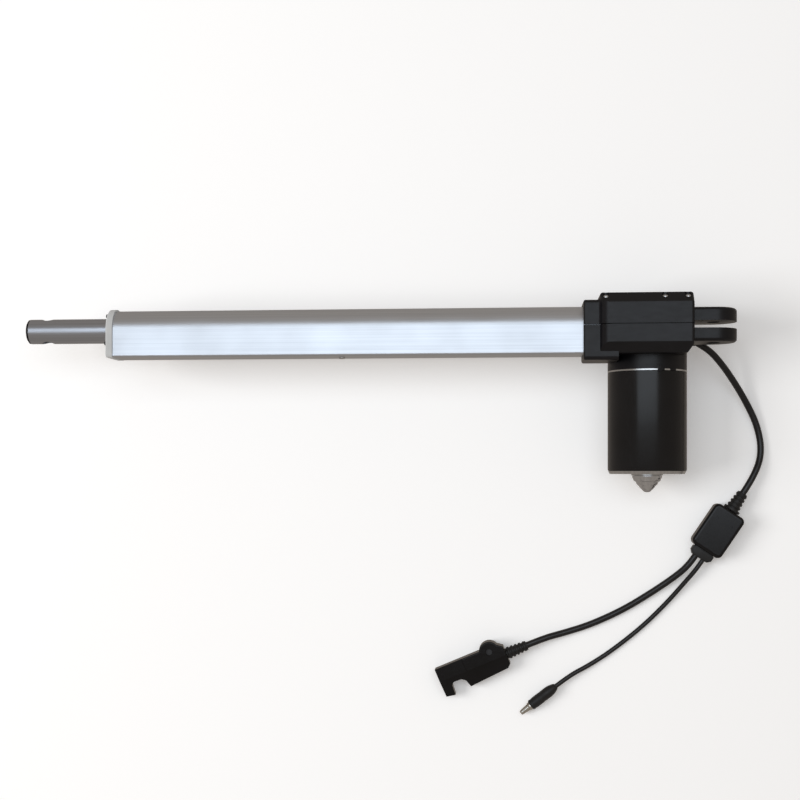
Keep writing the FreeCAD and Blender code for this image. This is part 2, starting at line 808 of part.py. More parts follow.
def housing_upper():
    body = housing_block("housing_upper", 1)
    split = d.gasket_thickness / 2
    add_collar(body, split, d.collar_top, d.x_block_front + 5, split)
    dress(body, "Fillet", COLLAR_HOLLOW,
          lambda e: straight(e, "z") and at(middle(e).x, d.x_block_front) and at(middle(e).y, d.collar_top))
    bore_out(body)
    tube_socket(body)
    clevis_pocket(body)
    below = -OUTSIDE
    round_hole(body, "y", below, d.x_wheel, -d.worm_depth, WORM_ROOM, 12.8 + OUTSIDE)
    round_hole(body, "y", below, d.x_wheel, -d.worm_depth, WORM_BUSH_RADIUS + SEAT_PLAY, 19.6 + OUTSIDE)
    for x, z in screw_places():
        round_hole(body, "y", below, x, z, SCREW_SHANK_RADIUS + 0.2, 26)
        head_seat = SCREW_HEAD_TOP - SCREW_HEAD_HEIGHT - 0.05
        round_hole(body, "y", head_seat, x, z, SCREW_HEAD_RADIUS + 0.2, 6)


def housing_lower():
    body = housing_block("housing_lower", -1)
    split = -d.gasket_thickness / 2
    add_collar(body, -d.collar_bottom, split, BOSS_REAR, split)
    # The lower rear corner is cut away above the cable.
    corner = sketch_on(body, "z", -d.block_far - OUTSIDE)
    rear, bottom = d.x_block_rear, -d.block_bottom
    draw_lines(corner, [
        (rear + OUTSIDE, bottom + CORNER_RISE), (rear, bottom + CORNER_RISE),
        (rear - CORNER_RUN, bottom - OUTSIDE), (rear + OUTSIDE, bottom - OUTSIDE),
    ])
    pocket(body, "z", corner, d.block_far + d.block_near + OUTSIDE * 2)
    neck = sketch_on(body, "y", d.y_neck)
    draw_circle(neck, d.x_wheel, -d.worm_depth, d.can_radius)
    pad(body, "y", neck, -d.y_neck - 19)
    bore_out(body)
    tube_socket(body)
    clevis_pocket(body)
    below = d.y_neck - OUTSIDE
    round_hole(body, "y", below, d.x_wheel, -d.worm_depth, WORM_ROOM, 35 + OUTSIDE)
    round_hole(body, "y", below, d.x_wheel, -d.worm_depth, MOTOR_BEARING_RADIUS + SEAT_PLAY, 10 + OUTSIDE)
    for x, z in screw_places():
        round_hole(body, "y", SCREW_PILOT_FLOOR, x, z, SCREW_SHANK_RADIUS + 0.05, 16)
    round_hole(body, "x", GLAND_FRONT - 0.1, GLAND_Y, GLAND_Z, 3.6, 12)


GASKET_INSET = 2.0
GASKET_ROOMS = (
    (-82, -13.5, -59, 13.5),
    (-59.5, -34, -39, 22),
    (-40, -12.5, -28, 12.5),
    (-90, -16.6, -81, 16.6),
)


def housing_small_parts():
    """The gasket between the halves and the screws that close them."""
    thick = d.gasket_thickness
    body = new_body("gasket")
    sheet = sketch_on(body, "y", -thick / 2 + 0.02)
    front, rear = d.x_block_front + GASKET_INSET, d.x_block_rear - GASKET_INSET
    near, far = d.block_near - GASKET_INSET, -d.block_far + GASKET_INSET
    notch = CLEVIS_HALF_WIDTH + 1.2
    notch_front = CLEVIS_FRONT - 1.2
    front_round = front + BLOCK_FRONT_ROUND
    draw_lines(sheet, [
        (front, far), (rear, far), (rear, -notch), (notch_front, -notch), (notch_front, notch),
        (rear, notch), (rear, near), (front_round, near), (front, near - BLOCK_FRONT_ROUND),
    ])
    pad(body, "y", sheet, thick - 0.04)
    # Openings over the bearing, the wheel, the brake and the tube's mouth.
    for room in GASKET_ROOMS:
        opening = sketch_on(body, "y", -OUTSIDE)
        draw_lines(opening, rectangle(*room))
        pocket(body, "y", opening, OUTSIDE * 2)
    for x, z in screw_places():
        round_hole(body, "y", -OUTSIDE, x, z, SCREW_SHANK_RADIUS + 0.4, OUTSIDE * 2)
    screws = []
    for x, z in screw_places():
        under_head = SCREW_HEAD_TOP - SCREW_HEAD_HEIGHT
        head = cylinder(SCREW_HEAD_RADIUS, SCREW_HEAD_HEIGHT, (x, under_head, z), "y")
        tip = under_head - SCREW_SHANK_LENGTH
        shank = cylinder(SCREW_SHANK_RADIUS, SCREW_SHANK_LENGTH, (x, tip, z), "y")
        screws.append(fuse([head, shank]))
    keep("housing_screws", group(screws))
    head_height = 1.5
    head = cylinder(2.6, head_height, (d.x_tube_screw, -d.tube_floor - head_height, 0), "y")
    shank = cylinder(TUBE_SCREW_RADIUS, d.tube_wall, (d.x_tube_screw, -d.tube_floor, 0), "y")
    keep("tube_screw", fuse([head, shank]))


CLEVIS_FRONT = -28.0
CLEVIS_STEP = 4.5
CLEVIS_FLANGE = 16.0
CLEVIS_HALF_WIDTH = 18.0
CLEVIS_ROUND = 2.6


def rear_clevis():
    """The forked mount: two round-ended ears on a flanged root."""
    body = new_body("rear_clevis")
    root = sketch_on(body, "x", CLEVIS_FRONT)
    draw_lines(root, rectangle(-CLEVIS_FLANGE, -CLEVIS_HALF_WIDTH, CLEVIS_FLANGE, CLEVIS_HALF_WIDTH))
    pad(body, "x", root, CLEVIS_STEP)
    half = d.clevis_half
    wide = d.clevis_radius
    ears = sketch_on(body, "y", -half)
    draw_lines(ears, rectangle(CLEVIS_FRONT + 1, -wide, 0, wide))
    pad(body, "y", ears, half * 2)
    round_end = sketch_on(body, "y", -half)
    draw_circle(round_end, 0, 0, wide)
    pad(body, "y", round_end, half * 2)
    dress(body, "Fillet", CLEVIS_ROUND,
          lambda e: at(abs(middle(e).y), half) and middle(e).x > -12 and e.Length > 10)
    slot = sketch_on(body, "x", d.x_block_rear + 0.8)
    draw_lines(slot, rectangle(-d.clevis_gap, -wide - 1, d.clevis_gap, wide + 1))
    pocket(body, "x", slot, d.x_clevis_end - d.x_block_rear + 2)
    bore = sketch_on(body, "y", -half - 1)
    draw_circle(bore, 0, 0, d.cross_hole_radius)
    pocket(body, "y", bore, half * 2 + 2)


# ---------------------------------------------------------------- limit switches

STRIP_FLOOR = -20.3
SWITCH_STATIONS = {"front": -432.0, "rear": -128.0}
LEVER_LENGTH = 13.0
LEVER_LIFT = 8.0


def limit_switches():
    """Two lever switches on a strip along the tube's floor, under the nut's slot."""
    strip = box((d.x_tube_front + 30, STRIP_FLOOR, -5), (d.x_tube_rear - 12, STRIP_FLOOR + 1.2, 5))
    keep("switch_strip", strip)
    for place_name, x in SWITCH_STATIONS.items():
        floor = STRIP_FLOOR + 1.2
        case = box((x - 8, floor, -3), (x + 8, floor + 4.2, 3))
        pins = [box((x + shift - 0.4, floor - 0.9, -0.5), (x + shift + 0.4, floor + 0.5, 0.5))
                for shift in (-5, 0, 5)]
        keep(f"{place_name}_switch", cut(case, group(pins)))
        # The lever stands up from a pivot at its front end.
        hinge = (x - 7, floor + 4.75, -1.8)
        barrel = cylinder(0.4, 3.6, hinge, "z")
        blade = box(hinge, (x - 7 + LEVER_LENGTH, floor + 5.05, 1.8))
        blade.Placement = Placement(blade.Placement.Base, turned_by(LEVER_LIFT))
        keep(f"{place_name}_switch_lever", fuse([barrel, blade]))


# ---------------------------------------------------------------- motor

def motor_at(y):
    return (d.x_wheel, y, -d.worm_depth)


def motor_shell():
    plate_thickness = d.y_neck - d.y_can_top
    keep("motor_flange", ring(d.can_radius, 11.2, plate_thickness, motor_at(d.y_can_top), "y"))
    can_length = d.y_can_top - d.y_can_end
    keep("motor_can", ring(d.can_radius, d.can_radius - d.can_wall, can_length, motor_at(d.y_can_end), "y"))
    # The end plate is slightly domed and carries the cone-shaped bearing cup.
    plate = cone(d.can_radius - 1.6, d.can_radius - 0.4, 2.4, motor_at(d.y_can_end - 2.4), along("y"))
    step = cylinder(12.6, 2, motor_at(d.y_can_end - 3.6), "y")
    cup_room = cylinder(10.0, 12, motor_at(d.y_can_end - 8), "y")
    keep("motor_end_plate", cut(fuse([plate, step]), cup_room))
    cup = new_body("motor_bearing_cup")
    half = sketch_on(cup, "y", 0)
    # Each pair is a radius and a station on the motor's own axis.
    draw_lines(half, [
        (0, -131.2), (2.6, -131.2), (3.3, -129.6), (6.6, -126.4), (8.7, -123.0), (10.6, -121.6),
        (11.4, -119.9), (11.9, -117.7), (9.9, -117.7), (9.9, -112.5), (8.03, -112.5),
        (8.03, -122.6), (0, -122.6),
    ])
    turn(cup, "Revolution", half, "V_Axis")
    place(cup, motor_at(0), Rotation(Vector(1, 0, 0), -90))


def magnets():
    """Two curved magnets inside the can."""
    arcs = []
    for side in (1, -1):
        shell = ring(d.can_radius - d.can_wall - 0.02, 24.1, 50, motor_at(-98), "y")
        inner, outer = (3, 40) if side > 0 else (-40, -3)
        wedge = box((d.x_wheel + inner, -100, -70), (d.x_wheel + outer, -40, 20))
        slab = box((d.x_wheel - 50, -101, -d.worm_depth - 21), (d.x_wheel + 50, -39, -d.worm_depth + 21))
        half = doc.addObject("Part::MultiCommon", "magnet")
        half.Shapes = [shell, wedge, slab]
        arcs.append(half)
    keep("motor_magnets", group(arcs))


CORE_END = -92.0
CORE_LENGTH = 38.0
SLOT_COUNT = 12
COMMUTATOR_END = -111.0


def armature():
    core = new_body("armature_core")
    disc = sketch_on(core, "y", CORE_END)
    draw_circle(disc, 0, 0, d.core_radius)
    draw_circle(disc, 0, 0, d.shaft_radius)
    pad(core, "y", disc, CORE_LENGTH)
    first = sketch_on(core, "y", CORE_END)
    draw_lines(first, rectangle(12, -1.8, 22, 1.8))
    slot = pocket(core, "y", first, CORE_LENGTH)
    slots = core.newObject("PartDesign::PolarPattern", "slots")
    slots.Originals = [slot]
    slots.Axis = ([f for f in core.Origin.OriginFeatures if f.Role == "Y_Axis"][0], [""])
    slots.Angle = 360
    slots.Occurrences = SLOT_COUNT
    core.Tip = slots
    place(core, (d.x_wheel, 0, -d.worm_depth))
    # The winding: a bar of wire through each slot and a ring of end turns beyond each face.
    bars = []
    for i in range(SLOT_COUNT):
        angle = 360.0 * i / SLOT_COUNT
        bar = doc.addObject("Part::Box", "bar")
        bind(bar, "Length", 9.4)
        bind(bar, "Width", CORE_LENGTH + 4)
        bind(bar, "Height", 3.0)
        turned = Rotation(Vector(0, 1, 0), angle)
        corner = turned.multVec(Vector(12.3, 0, -1.5))
        place(bar, (d.x_wheel + corner.x, CORE_END - 2, -d.worm_depth + corner.z), turned)
        bars.append(bar)
    ends = [ring(21.5, 9.5, 8, motor_at(CORE_END - 9.5), "y"),
            ring(21.5, 9.5, 8, motor_at(CORE_END + CORE_LENGTH + 1.5), "y")]
    keep("armature_winding", fuse(bars + ends))
    commutator = ring(9.0, d.shaft_radius, 8, motor_at(COMMUTATOR_END), "y")
    gaps = []
    for i in range(SLOT_COUNT // 2):
        gap = doc.addObject("Part::Box", "gap")
        bind(gap, "Length", 19)
        bind(gap, "Width", 10)
        bind(gap, "Height", 0.6)
        turned = Rotation(Vector(0, 1, 0), 180.0 * i / (SLOT_COUNT // 2))
        corner = turned.multVec(Vector(-9.5, 0, -0.3))
        place(gap, (d.x_wheel + corner.x, COMMUTATOR_END + 1.5, -d.worm_depth + corner.z), turned)
        gaps.append(gap)
    hub = ring(7.6, d.shaft_radius, 8, motor_at(COMMUTATOR_END), "y")
    keep("commutator", fuse([cut(commutator, group(gaps)), hub]))


def brush_gear():
    """The brush plate, two carbon brushes in line with X, and their springs."""
    plate = ring(29.3, 11.0, 2.0, motor_at(-104.6), "y")
    legs = []
    for side in (1, -1):
        leg = d.x_wheel + side * 20
        legs.append(box((leg - 6, -113.4, -d.worm_depth - 4.4), (leg + 6, -102.6, -d.worm_depth + 4.4)))
    chute = box((d.x_wheel - 30, -111.2, -d.worm_depth - 3.1), (d.x_wheel + 30, -104.8, -d.worm_depth + 3.1))
    keep("brush_holder", cut(fuse([plate] + legs), chute))
    brushes = []
    springs = []
    for side in (1, -1):
        ends = sorted((d.x_wheel.value + side * 9.0, d.x_wheel.value + side * 18.5))
        block = box((ends[0], -111.0, -d.worm_depth - 3), (ends[1], -105.0, -d.worm_depth + 3))
        brushes.append(cut(block, cylinder(9.08, 12, motor_at(-114), "y")))
        foot = d.x_wheel.value + (19.3 if side > 0 else -25.3)
        springs.append(wound_tube(2.6, 2.0, 1.2, 5, (foot, -108, -d.worm_depth), "x"))
    keep("brushes", group(brushes))
    keep("brush_springs", group(springs))


MOTOR_REAR_RADIUS = 8.0


def motor_bearings():
    bore = d.shaft_radius + BUSH_PLAY
    for name, radius, length, station in (
        ("motor_front_bearing", MOTOR_BEARING_RADIUS, 9.6, -33.2),
        ("motor_rear_bearing", MOTOR_REAR_RADIUS, 7.5, -120.5),
        ("worm_end_bush", WORM_BUSH_RADIUS, 5.5, 13.2),
    ):
        keep(name, ring(radius, bore, length, motor_at(station), "y"))


# ---------------------------------------------------------------- cables

GLAND_FRONT = -25.0
GLAND_Y = -6.8
GLAND_Z = -25.0

# Points that each cable's route bends at.  The arcs pass inside them.
MAIN_ROUTE = [
    (-9.6, -10.6, -26.0), (0.4, -16.0, -27.6), (11.2, -27.0, -33.2), (21.6, -39.6, -41.8),
    (33.2, -56.4, -50.0), (43.6, -77.0, -53.6), (47.2, -99.5, -53.6), (39.5, -119.3, -48.6),
    (30.85, -132.2, -48.6),
]
PLUG_ROUTE = [
    (-7.6, -183.5, -48.6), (-13.2, -191.9, -48.6), (-24.5, -201.8, -51.2), (-42.5, -214.6, -53.8),
    (-66.0, -229.2, -53.8), (-93.0, -241.8, -53.8), (-115.0, -248.7, -52.9), (-131.1, -252.7, -48.9),
    (-145.4, -258.8, -48.9),
]
LEAD_ROUTE = [
    (-1.8, -187.4, -48.6), (-7.0, -195.2, -48.6), (-16.0, -206.2, -51.8), (-29.5, -222.5, -54.6),
    (-49.5, -242.6, -54.6), (-75.0, -263.2, -54.6), (-94.5, -275.9, -53.8), (-109.6, -283.6, -51.6),
    (-121.4, -292.9, -51.6),
]


def cable(name, route, radius):
    """A round cable of straight runs joined by tangent arcs."""
    points = [Vector(*p) for p in route]
    runs = [b - a for a, b in zip(points, points[1:])]
    edges = []
    start = points[0]
    radii = []
    for i in range(1, len(points) - 1):
        before, after = runs[i - 1], runs[i]
        half_turn = before.getAngle(after) / 2
        bend = 0.45 * min(before.Length, after.Length) / math.tan(half_turn)
        setback = bend * math.tan(half_turn)
        radii.append(round(bend, 1))
        back = Vector(before).normalize()
        on = Vector(after).normalize()
        enter = points[i] - back * setback
        leave = points[i] + on * setback
        inward = (on - back).normalize()
        peak = points[i] + inward * (bend / math.cos(half_turn) - bend)
        edges.append(Part.LineSegment(start, enter).toShape())
        edges.append(Part.Arc(enter, peak, leave).toShape())
        start = leave
    edges.append(Part.LineSegment(start, points[-1]).toShape())
    path = Part.Wire(edges)
    section = Part.Wire(Part.makeCircle(radius.value, points[0], runs[0]))
    solid = path.makePipeShell([section], True, False)
    thing = doc.addObject("Part::Feature", name)
    thing.Shape = solid
    keep(name, thing)
    expected = math.pi * radius.value ** 2 * path.Length
    turns = [round(math.degrees(a.getAngle(b)), 1) for a, b in zip(runs, runs[1:])]
    print(f"{name}: length {path.Length:.1f}, volume {solid.Volume:.0f} of {expected:.0f}")
    print(f"   runs {[round(r.Length, 1) for r in runs]}, turns {turns}, radii {radii}")
    print(f"   lowest {min(v.z for v in path.discretize(200)) - radius.value:.2f}, floor {d.floor.value}")
    if abs(solid.Volume / expected - 1) > 0.01:
        raise RuntimeError(f"{name}: the sweep's volume is wrong")


def strain_relief(route, at_start, root_radius, tip_radius, length):
    """A tapered sleeve in line with the run at one end of a route, its small face on the cable's."""
    points = [Vector(*p) for p in (route if at_start else route[::-1])]
    way = (points[1] - points[0]).normalize()
    back = points[0] - way * length
    return cone(root_radius, tip_radius, length, tuple(back), Rotation(Vector(0, 0, 1), way))


def cables():
    cable("main_cable", MAIN_ROUTE, d.thick_cable)
    cable("plug_cable", PLUG_ROUTE, d.thick_cable)
    cable("lead_cable", LEAD_ROUTE, d.thin_cable)
    # The gland is a rubber grommet through the wall with a short taper outside.
    through = cylinder(3.5, d.x_block_rear - GLAND_FRONT, (GLAND_FRONT, GLAND_Y, GLAND_Z), "x")
    collar = cylinder(5.2, 2.2, (d.x_block_rear, GLAND_Y, GLAND_Z), "x")
    # The taper leans the way that the cable leaves.
    taper = strain_relief(MAIN_ROUTE, True, 4.2, 3.3, 7.2)
    keep("cable_gland", fuse([through, collar, taper]))


# ---------------------------------------------------------------- Y-block and plugs

Y_BLOCK_CENTRE = (10.2, -163.0)
# The way along the block, from its single cable toward its pair.
Y_BLOCK_HEADING = 236.2
Y_BLOCK_LENGTH = 39.0
Y_BLOCK_WIDTH = 28.0
Y_BLOCK_SPLIT = -48.6
Y_BLOCK_TOP = -40.6
Y_BLOCK_ROUND = 2.6


def y_block_shell(name, low, high, inner_low, inner_high):
    """One half of the hollow junction box, drawn along X and then turned."""
    body = new_body(name)
    outline = sketch_on(body, "z", low)
    length, width = Y_BLOCK_LENGTH / 2, Y_BLOCK_WIDTH / 2
    draw_lines(outline, rectangle(-length, -width, length, width))
    pad(body, "z", outline, size(high) - low)
    dress(body, "Fillet", 4.5, lambda e: straight(e, "z"))
    outer_face = low if abs(low - Y_BLOCK_SPLIT) > 1 else high
    dress(body, "Fillet", Y_BLOCK_ROUND, lambda e: at(middle(e).z, outer_face))
    room = sketch_on(body, "z", inner_low)
    draw_lines(room, rectangle(-length + 2.2, -width + 2.2, length - 2.2, width - 2.2))
    pocket(body, "z", room, inner_high - inner_low)
    return body


def y_block():
    floor = d.floor.value + 0.1
    lower = y_block_shell("y_block_lower", floor, Y_BLOCK_SPLIT, floor + 2, Y_BLOCK_SPLIT)
    upper = y_block_shell("y_block_upper", Y_BLOCK_SPLIT, Y_BLOCK_TOP, Y_BLOCK_SPLIT, Y_BLOCK_TOP - 2)
    # The rubber parts pass through both end walls, half in each shell.
    for shell in (lower, upper):
        entry = sketch_on(shell, "x", -Y_BLOCK_LENGTH / 2 - 1)
        draw_lines(entry, rectangle(-4.5, Y_BLOCK_SPLIT - 4, 4.5, Y_BLOCK_SPLIT + 4))
        pocket(shell, "x", entry, 4)
        outlet = sketch_on(shell, "x", Y_BLOCK_LENGTH / 2 - 3)
        draw_lines(outlet, rectangle(-8.5, Y_BLOCK_SPLIT - 4, 8.5, Y_BLOCK_SPLIT + 4))
        pocket(shell, "x", outlet, 4)
    # Four dimples in the lid sit over its snap posts.
    for x in (-8, 8):
        for y in (-7, 7):
            dimple = sketch_on(upper, "z", Y_BLOCK_TOP - 0.6)
            draw_circle(dimple, x, y, 1.2)
            pocket(upper, "z", dimple, 2)
    for shell in (lower, upper):
        place(shell, (*Y_BLOCK_CENTRE, 0), turned_by(Y_BLOCK_HEADING))
    # Entry boot: from inside the wall out to the main cable's end.
    root = boxed_root(-Y_BLOCK_LENGTH / 2 - 0.8, -Y_BLOCK_LENGTH / 2 + 2.0, 4.4, 3.9)
    boot = strain_relief(MAIN_ROUTE, False, 5.0, 3.7, 17.0)
    keep("y_block_entry_boot", fuse([root, boot]))
    # Outlet nozzle: one flat rubber block that both branches leave.
    neck = boxed_root(Y_BLOCK_LENGTH / 2 - 2.0, Y_BLOCK_LENGTH / 2 + 0.6, 8.4, 3.9)
    nozzle = boxed_root(Y_BLOCK_LENGTH / 2 + 0.5, Y_BLOCK_LENGTH / 2 + 7.5, 9.6, 5.0)
    keep("y_block_outlet_nozzle", fuse([neck, nozzle]))


def boxed_root(x_low, x_high, half_width, half_height):
    """A block in the Y-block's own frame, put where the Y-block is."""
    block = doc.addObject("Part::Box", "block")
    bind(block, "Length", x_high - x_low)
    bind(block, "Width", half_width * 2)
    bind(block, "Height", half_height * 2)
    turned = turned_by(Y_BLOCK_HEADING)
    corner = turned.multVec(Vector(x_low, -half_width, Y_BLOCK_SPLIT - half_height))
    place(block, (corner.x + Y_BLOCK_CENTRE[0], corner.y + Y_BLOCK_CENTRE[1], corner.z), turned)
    return block


PLUG_CORNER = (-221.9, -279.5)
PLUG_HEADING = 23.1
PLUG_TOP = -41.4
PLUG_AXIS_OFFSET = -11.0
PLUG_LENGTH = 60.0
PLUG_BOSS = (47.7, -3.6)
PLUG_BOSS_RADIUS = 8.6
PLUG_STEP = 24.0
PLUG_STEP_HEIGHT = 1.8
PLUG_RIDGE = -11.0
PLUG_FALL = 4.5


def in_plug(x, y, z):
    """A place in the power plug's own frame, given in the part's frame."""
    spot = turned_by(PLUG_HEADING).multVec(Vector(x, y, z))
    return (spot.x + PLUG_CORNER[0], spot.y + PLUG_CORNER[1], spot.z)


def power_plug():
    """The larger plug: a flat moulding with a latch notch, drawn along X and then turned."""
    bottom = d.floor.value + 0.1
    body = new_body("power_plug_body")
    outline = sketch_on(body, "z", bottom)
    draw_lines(outline, [
        (0, 0), (0, -24.8), (7.6, -26.2), (8.4, -17.6), (10.6, -15.4), (17.6, -15.8), (20.6, -18.4),
        (22.4, -24.6), (PLUG_STEP + 1, -24.4), (PLUG_STEP + 1, 0),
    ])
    pad(body, "z", outline, size(PLUG_TOP - PLUG_STEP_HEIGHT) - bottom)
    dress(body, "Fillet", 1.6, lambda e: straight(e, "z") and 8 < middle(e).x < 22)
    grip = sketch_on(body, "z", bottom)
    draw_lines(grip, [
        (PLUG_STEP, 0), (PLUG_STEP, -24.4), (57, -22.2), (60, -19.2), (60, -3.5), (56, -0.6), (38, 0),
    ])
    pad(body, "z", grip, size(PLUG_TOP) - bottom)
    boss = sketch_on(body, "z", bottom)
    draw_circle(boss, *PLUG_BOSS, PLUG_BOSS_RADIUS)
    pad(body, "z", boss, size(PLUG_TOP) - bottom)
    # The near face falls away below a ridge that runs the length of the plug.
    for top in (PLUG_TOP, PLUG_TOP - PLUG_STEP_HEIGHT):
        slope = sketch_on(body, "x", -1 if top < PLUG_TOP else PLUG_STEP)
        draw_lines(slope, [
            (PLUG_RIDGE, top), (PLUG_RIDGE, PLUG_TOP + 1), (-28, PLUG_TOP + 1), (-28, top - PLUG_FALL),
        ])
        pocket(body, "x", slope, PLUG_LENGTH + 2)
    dress(body, "Fillet", 1.0, lambda e: at(middle(e).z, PLUG_TOP) and not at(middle(e).y, PLUG_RIDGE))
    socket = sketch_on(body, "x", -1)
    draw_lines(socket, rectangle(-13.2, -54.0, -2.6, -44.2))
    pocket(body, "x", socket, 15)
    seat = sketch_on(body, "x", PLUG_LENGTH - 4)
    middle_z = PLUG_ROUTE[-1][2]
    draw_circle(seat, PLUG_AXIS_OFFSET, middle_z, 4.2)
    pocket(body, "x", seat, 6)
    screw_seat = sketch_on(body, "z", PLUG_TOP - 3.0)
    draw_circle(screw_seat, *PLUG_BOSS, 2.6)
    pocket(body, "z", screw_seat, 4)
    place(body, (*PLUG_CORNER, 0), turned_by(PLUG_HEADING))
    pins = []
    for y in (-10.4, -5.4):
        pin = cylinder(0.9, 9.5, in_plug(4.5, y, middle_z), "x")
        pin.Placement = Placement(pin.Placement.Base, turned_by(PLUG_HEADING) * along("x"))
        pins.append(pin)
    keep("power_plug_pins", group(pins))
    screw = cylinder(2.5, 2.2, in_plug(*PLUG_BOSS, PLUG_TOP - 3.0), "z")
    keep("power_plug_screw", screw)
    stem = cylinder(4.15, 4.4, in_plug(PLUG_LENGTH - 3.9, PLUG_AXIS_OFFSET, middle_z), "z")
    stem.Placement = Placement(stem.Placement.Base, turned_by(PLUG_HEADING) * along("x"))
    boot = strain_relief(PLUG_ROUTE, False, 5.2, 3.6, 18.2)
    keep("power_plug_boot", fuse([stem, boot]))


LEAD_PLUG_LENGTH = 26.5
LEAD_TIP_LENGTH = 10.5


def lead_plug():
    """The small plug: a moulded sleeve on a tapered metal barrel."""
    start = Vector(*LEAD_ROUTE[-1])
    way = (start - Vector(*LEAD_ROUTE[-2])).normalize()
    rotation = Rotation(Vector(0, 0, 1), way)
    taper = cone(3.0, 4.6, 8, tuple(start), rotation)
    sleeve = cylinder(4.6, LEAD_PLUG_LENGTH - 8, tuple(start + way * 8), "z")
    sleeve.Placement = Placement(sleeve.Placement.Base, rotation)
    keep("lead_plug_body", fuse([taper, sleeve]))
    front = start + way * LEAD_PLUG_LENGTH
    shoulder = cylinder(3.4, 2.0, tuple(front), "z")
    shoulder.Placement = Placement(shoulder.Placement.Base, rotation)
    barrel = cone(2.8, 1.9, LEAD_TIP_LENGTH - 2, tuple(front + way * 2), rotation)
    keep("lead_plug_barrel", fuse([shoulder, barrel]))


# ---------------------------------------------------------------- build and write

def check_document():
    """Stop on any object that failed, and on any sub-part that is not sound."""
    for thing in doc.Objects:
        if "Invalid" in thing.State or "Error" in thing.State:
            raise RuntimeError(f"{thing.Name} ({thing.Label}) failed: {thing.State}")
    for name, thing in parts.items():
        if thing.Shape.isNull() or not thing.Shape.isValid() or not thing.Shape.Solids:
            raise RuntimeError(f"{name} is not a sound solid")


def build():
    for section in (
        outer_tube, front_cap, cap_screws, rod_parts, nut, spindle, spindle_bearing, worm_wheel, brake,
        worm_shaft, housing_upper, housing_lower, housing_small_parts, rear_clevis, limit_switches,
        motor_shell, magnets, armature, brush_gear, motor_bearings, cables, y_block, power_plug, lead_plug,
    ):
        section()
    doc.recompute()
    check_document()
    os.makedirs("parts", exist_ok=True)
    for name, thing in parts.items():
        thing.Shape.exportStep(os.path.join("parts", f"{name}.step"))
    print(f"{len(parts)} sub-parts written")


build()
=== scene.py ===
import json
import math

import bmesh
import bpy
from mathutils import Matrix, Vector


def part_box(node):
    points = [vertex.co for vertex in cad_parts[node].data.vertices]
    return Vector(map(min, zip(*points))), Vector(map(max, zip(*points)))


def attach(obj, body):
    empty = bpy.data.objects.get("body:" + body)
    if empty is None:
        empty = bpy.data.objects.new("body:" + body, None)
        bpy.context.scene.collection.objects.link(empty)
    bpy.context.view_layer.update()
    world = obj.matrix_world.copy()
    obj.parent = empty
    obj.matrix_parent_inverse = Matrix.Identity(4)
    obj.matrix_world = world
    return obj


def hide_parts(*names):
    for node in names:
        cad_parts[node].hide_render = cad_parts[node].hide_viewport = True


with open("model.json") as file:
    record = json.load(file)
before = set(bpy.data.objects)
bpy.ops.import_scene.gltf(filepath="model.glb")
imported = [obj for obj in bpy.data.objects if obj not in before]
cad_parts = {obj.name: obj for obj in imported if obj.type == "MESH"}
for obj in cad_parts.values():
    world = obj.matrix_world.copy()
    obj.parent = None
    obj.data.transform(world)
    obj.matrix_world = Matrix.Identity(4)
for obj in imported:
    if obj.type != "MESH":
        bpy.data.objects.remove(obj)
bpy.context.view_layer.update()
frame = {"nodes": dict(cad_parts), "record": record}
bpy.context.scene.view_settings.view_transform = "Standard"

MM = 0.001
FLOOR = -56.5 * MM


# ---------------------------------------------------------------- camera

# The camera stands above this point, tipped about Y toward the gearbox, and a little to one side.
CAMERA_AIM = Vector((-0.270, -0.060, 0))
CAMERA_TILT = math.radians(4.88)
CAMERA_DISTANCE = 1.084
CAMERA_RIGHT = 0.0228
CAMERA_DOWN = 0.0532
SENSOR_WIDTH = 36.0
# The focal length over the width of the frame.
LENS_TO_FRAME = 1.6875
# The frame is cut from a taller view, so the axis meets it below the middle.
SHIFT_UP = 0.0875


def make_camera():
    """A view from above the surface, tipped toward the gearbox end."""
    data = bpy.data.cameras.new("camera")
    camera = bpy.data.objects.new("camera", data)
    bpy.context.scene.collection.objects.link(camera)
    data.sensor_width = SENSOR_WIDTH
    data.lens = SENSOR_WIDTH * LENS_TO_FRAME
    data.shift_y = SHIFT_UP
    data.clip_start = 0.05
    data.clip_end = 20
    toward = Vector((math.sin(CAMERA_TILT), 0, math.cos(CAMERA_TILT)))
    up = Vector((0, 1, 0))
    right = up.cross(toward)
    camera.location = CAMERA_AIM + toward * CAMERA_DISTANCE + right * CAMERA_RIGHT - up * CAMERA_DOWN
    camera.rotation_mode = "QUATERNION"
    camera.rotation_quaternion = Matrix((right, up, toward)).transposed().to_quaternion()
    bpy.context.scene.camera = camera
    return camera


make_camera()


# ---------------------------------------------------------------- materials

def new_material(name):
    """A material with its node list, its links and its principled shader."""
    material = bpy.data.materials.new(name)
    material.use_nodes = True
    nodes = material.node_tree.nodes
    shader = nodes["Principled BSDF"]
    return material, nodes, material.node_tree.links, shader


def object_coordinates(nodes, links, scale=(1, 1, 1)):
    """The object's own coordinates in metres, stretched along each axis by scale."""
    coordinates = nodes.new("ShaderNodeTexCoord")
    mapping = nodes.new("ShaderNodeMapping")
    mapping.inputs["Scale"].default_value = scale
    links.new(coordinates.outputs["Object"], mapping.inputs["Vector"])
    return mapping.outputs["Vector"]


def noise(nodes, links, vector, scale, detail=3.0, roughness=0.55):
    """A noise value of about 0 to 1, with scale in features per metre."""
    texture = nodes.new("ShaderNodeTexNoise")
    texture.inputs["Scale"].default_value = scale
    texture.inputs["Detail"].default_value = detail
    texture.inputs["Roughness"].default_value = roughness
    links.new(vector, texture.inputs["Vector"])
    return texture.outputs["Fac"]


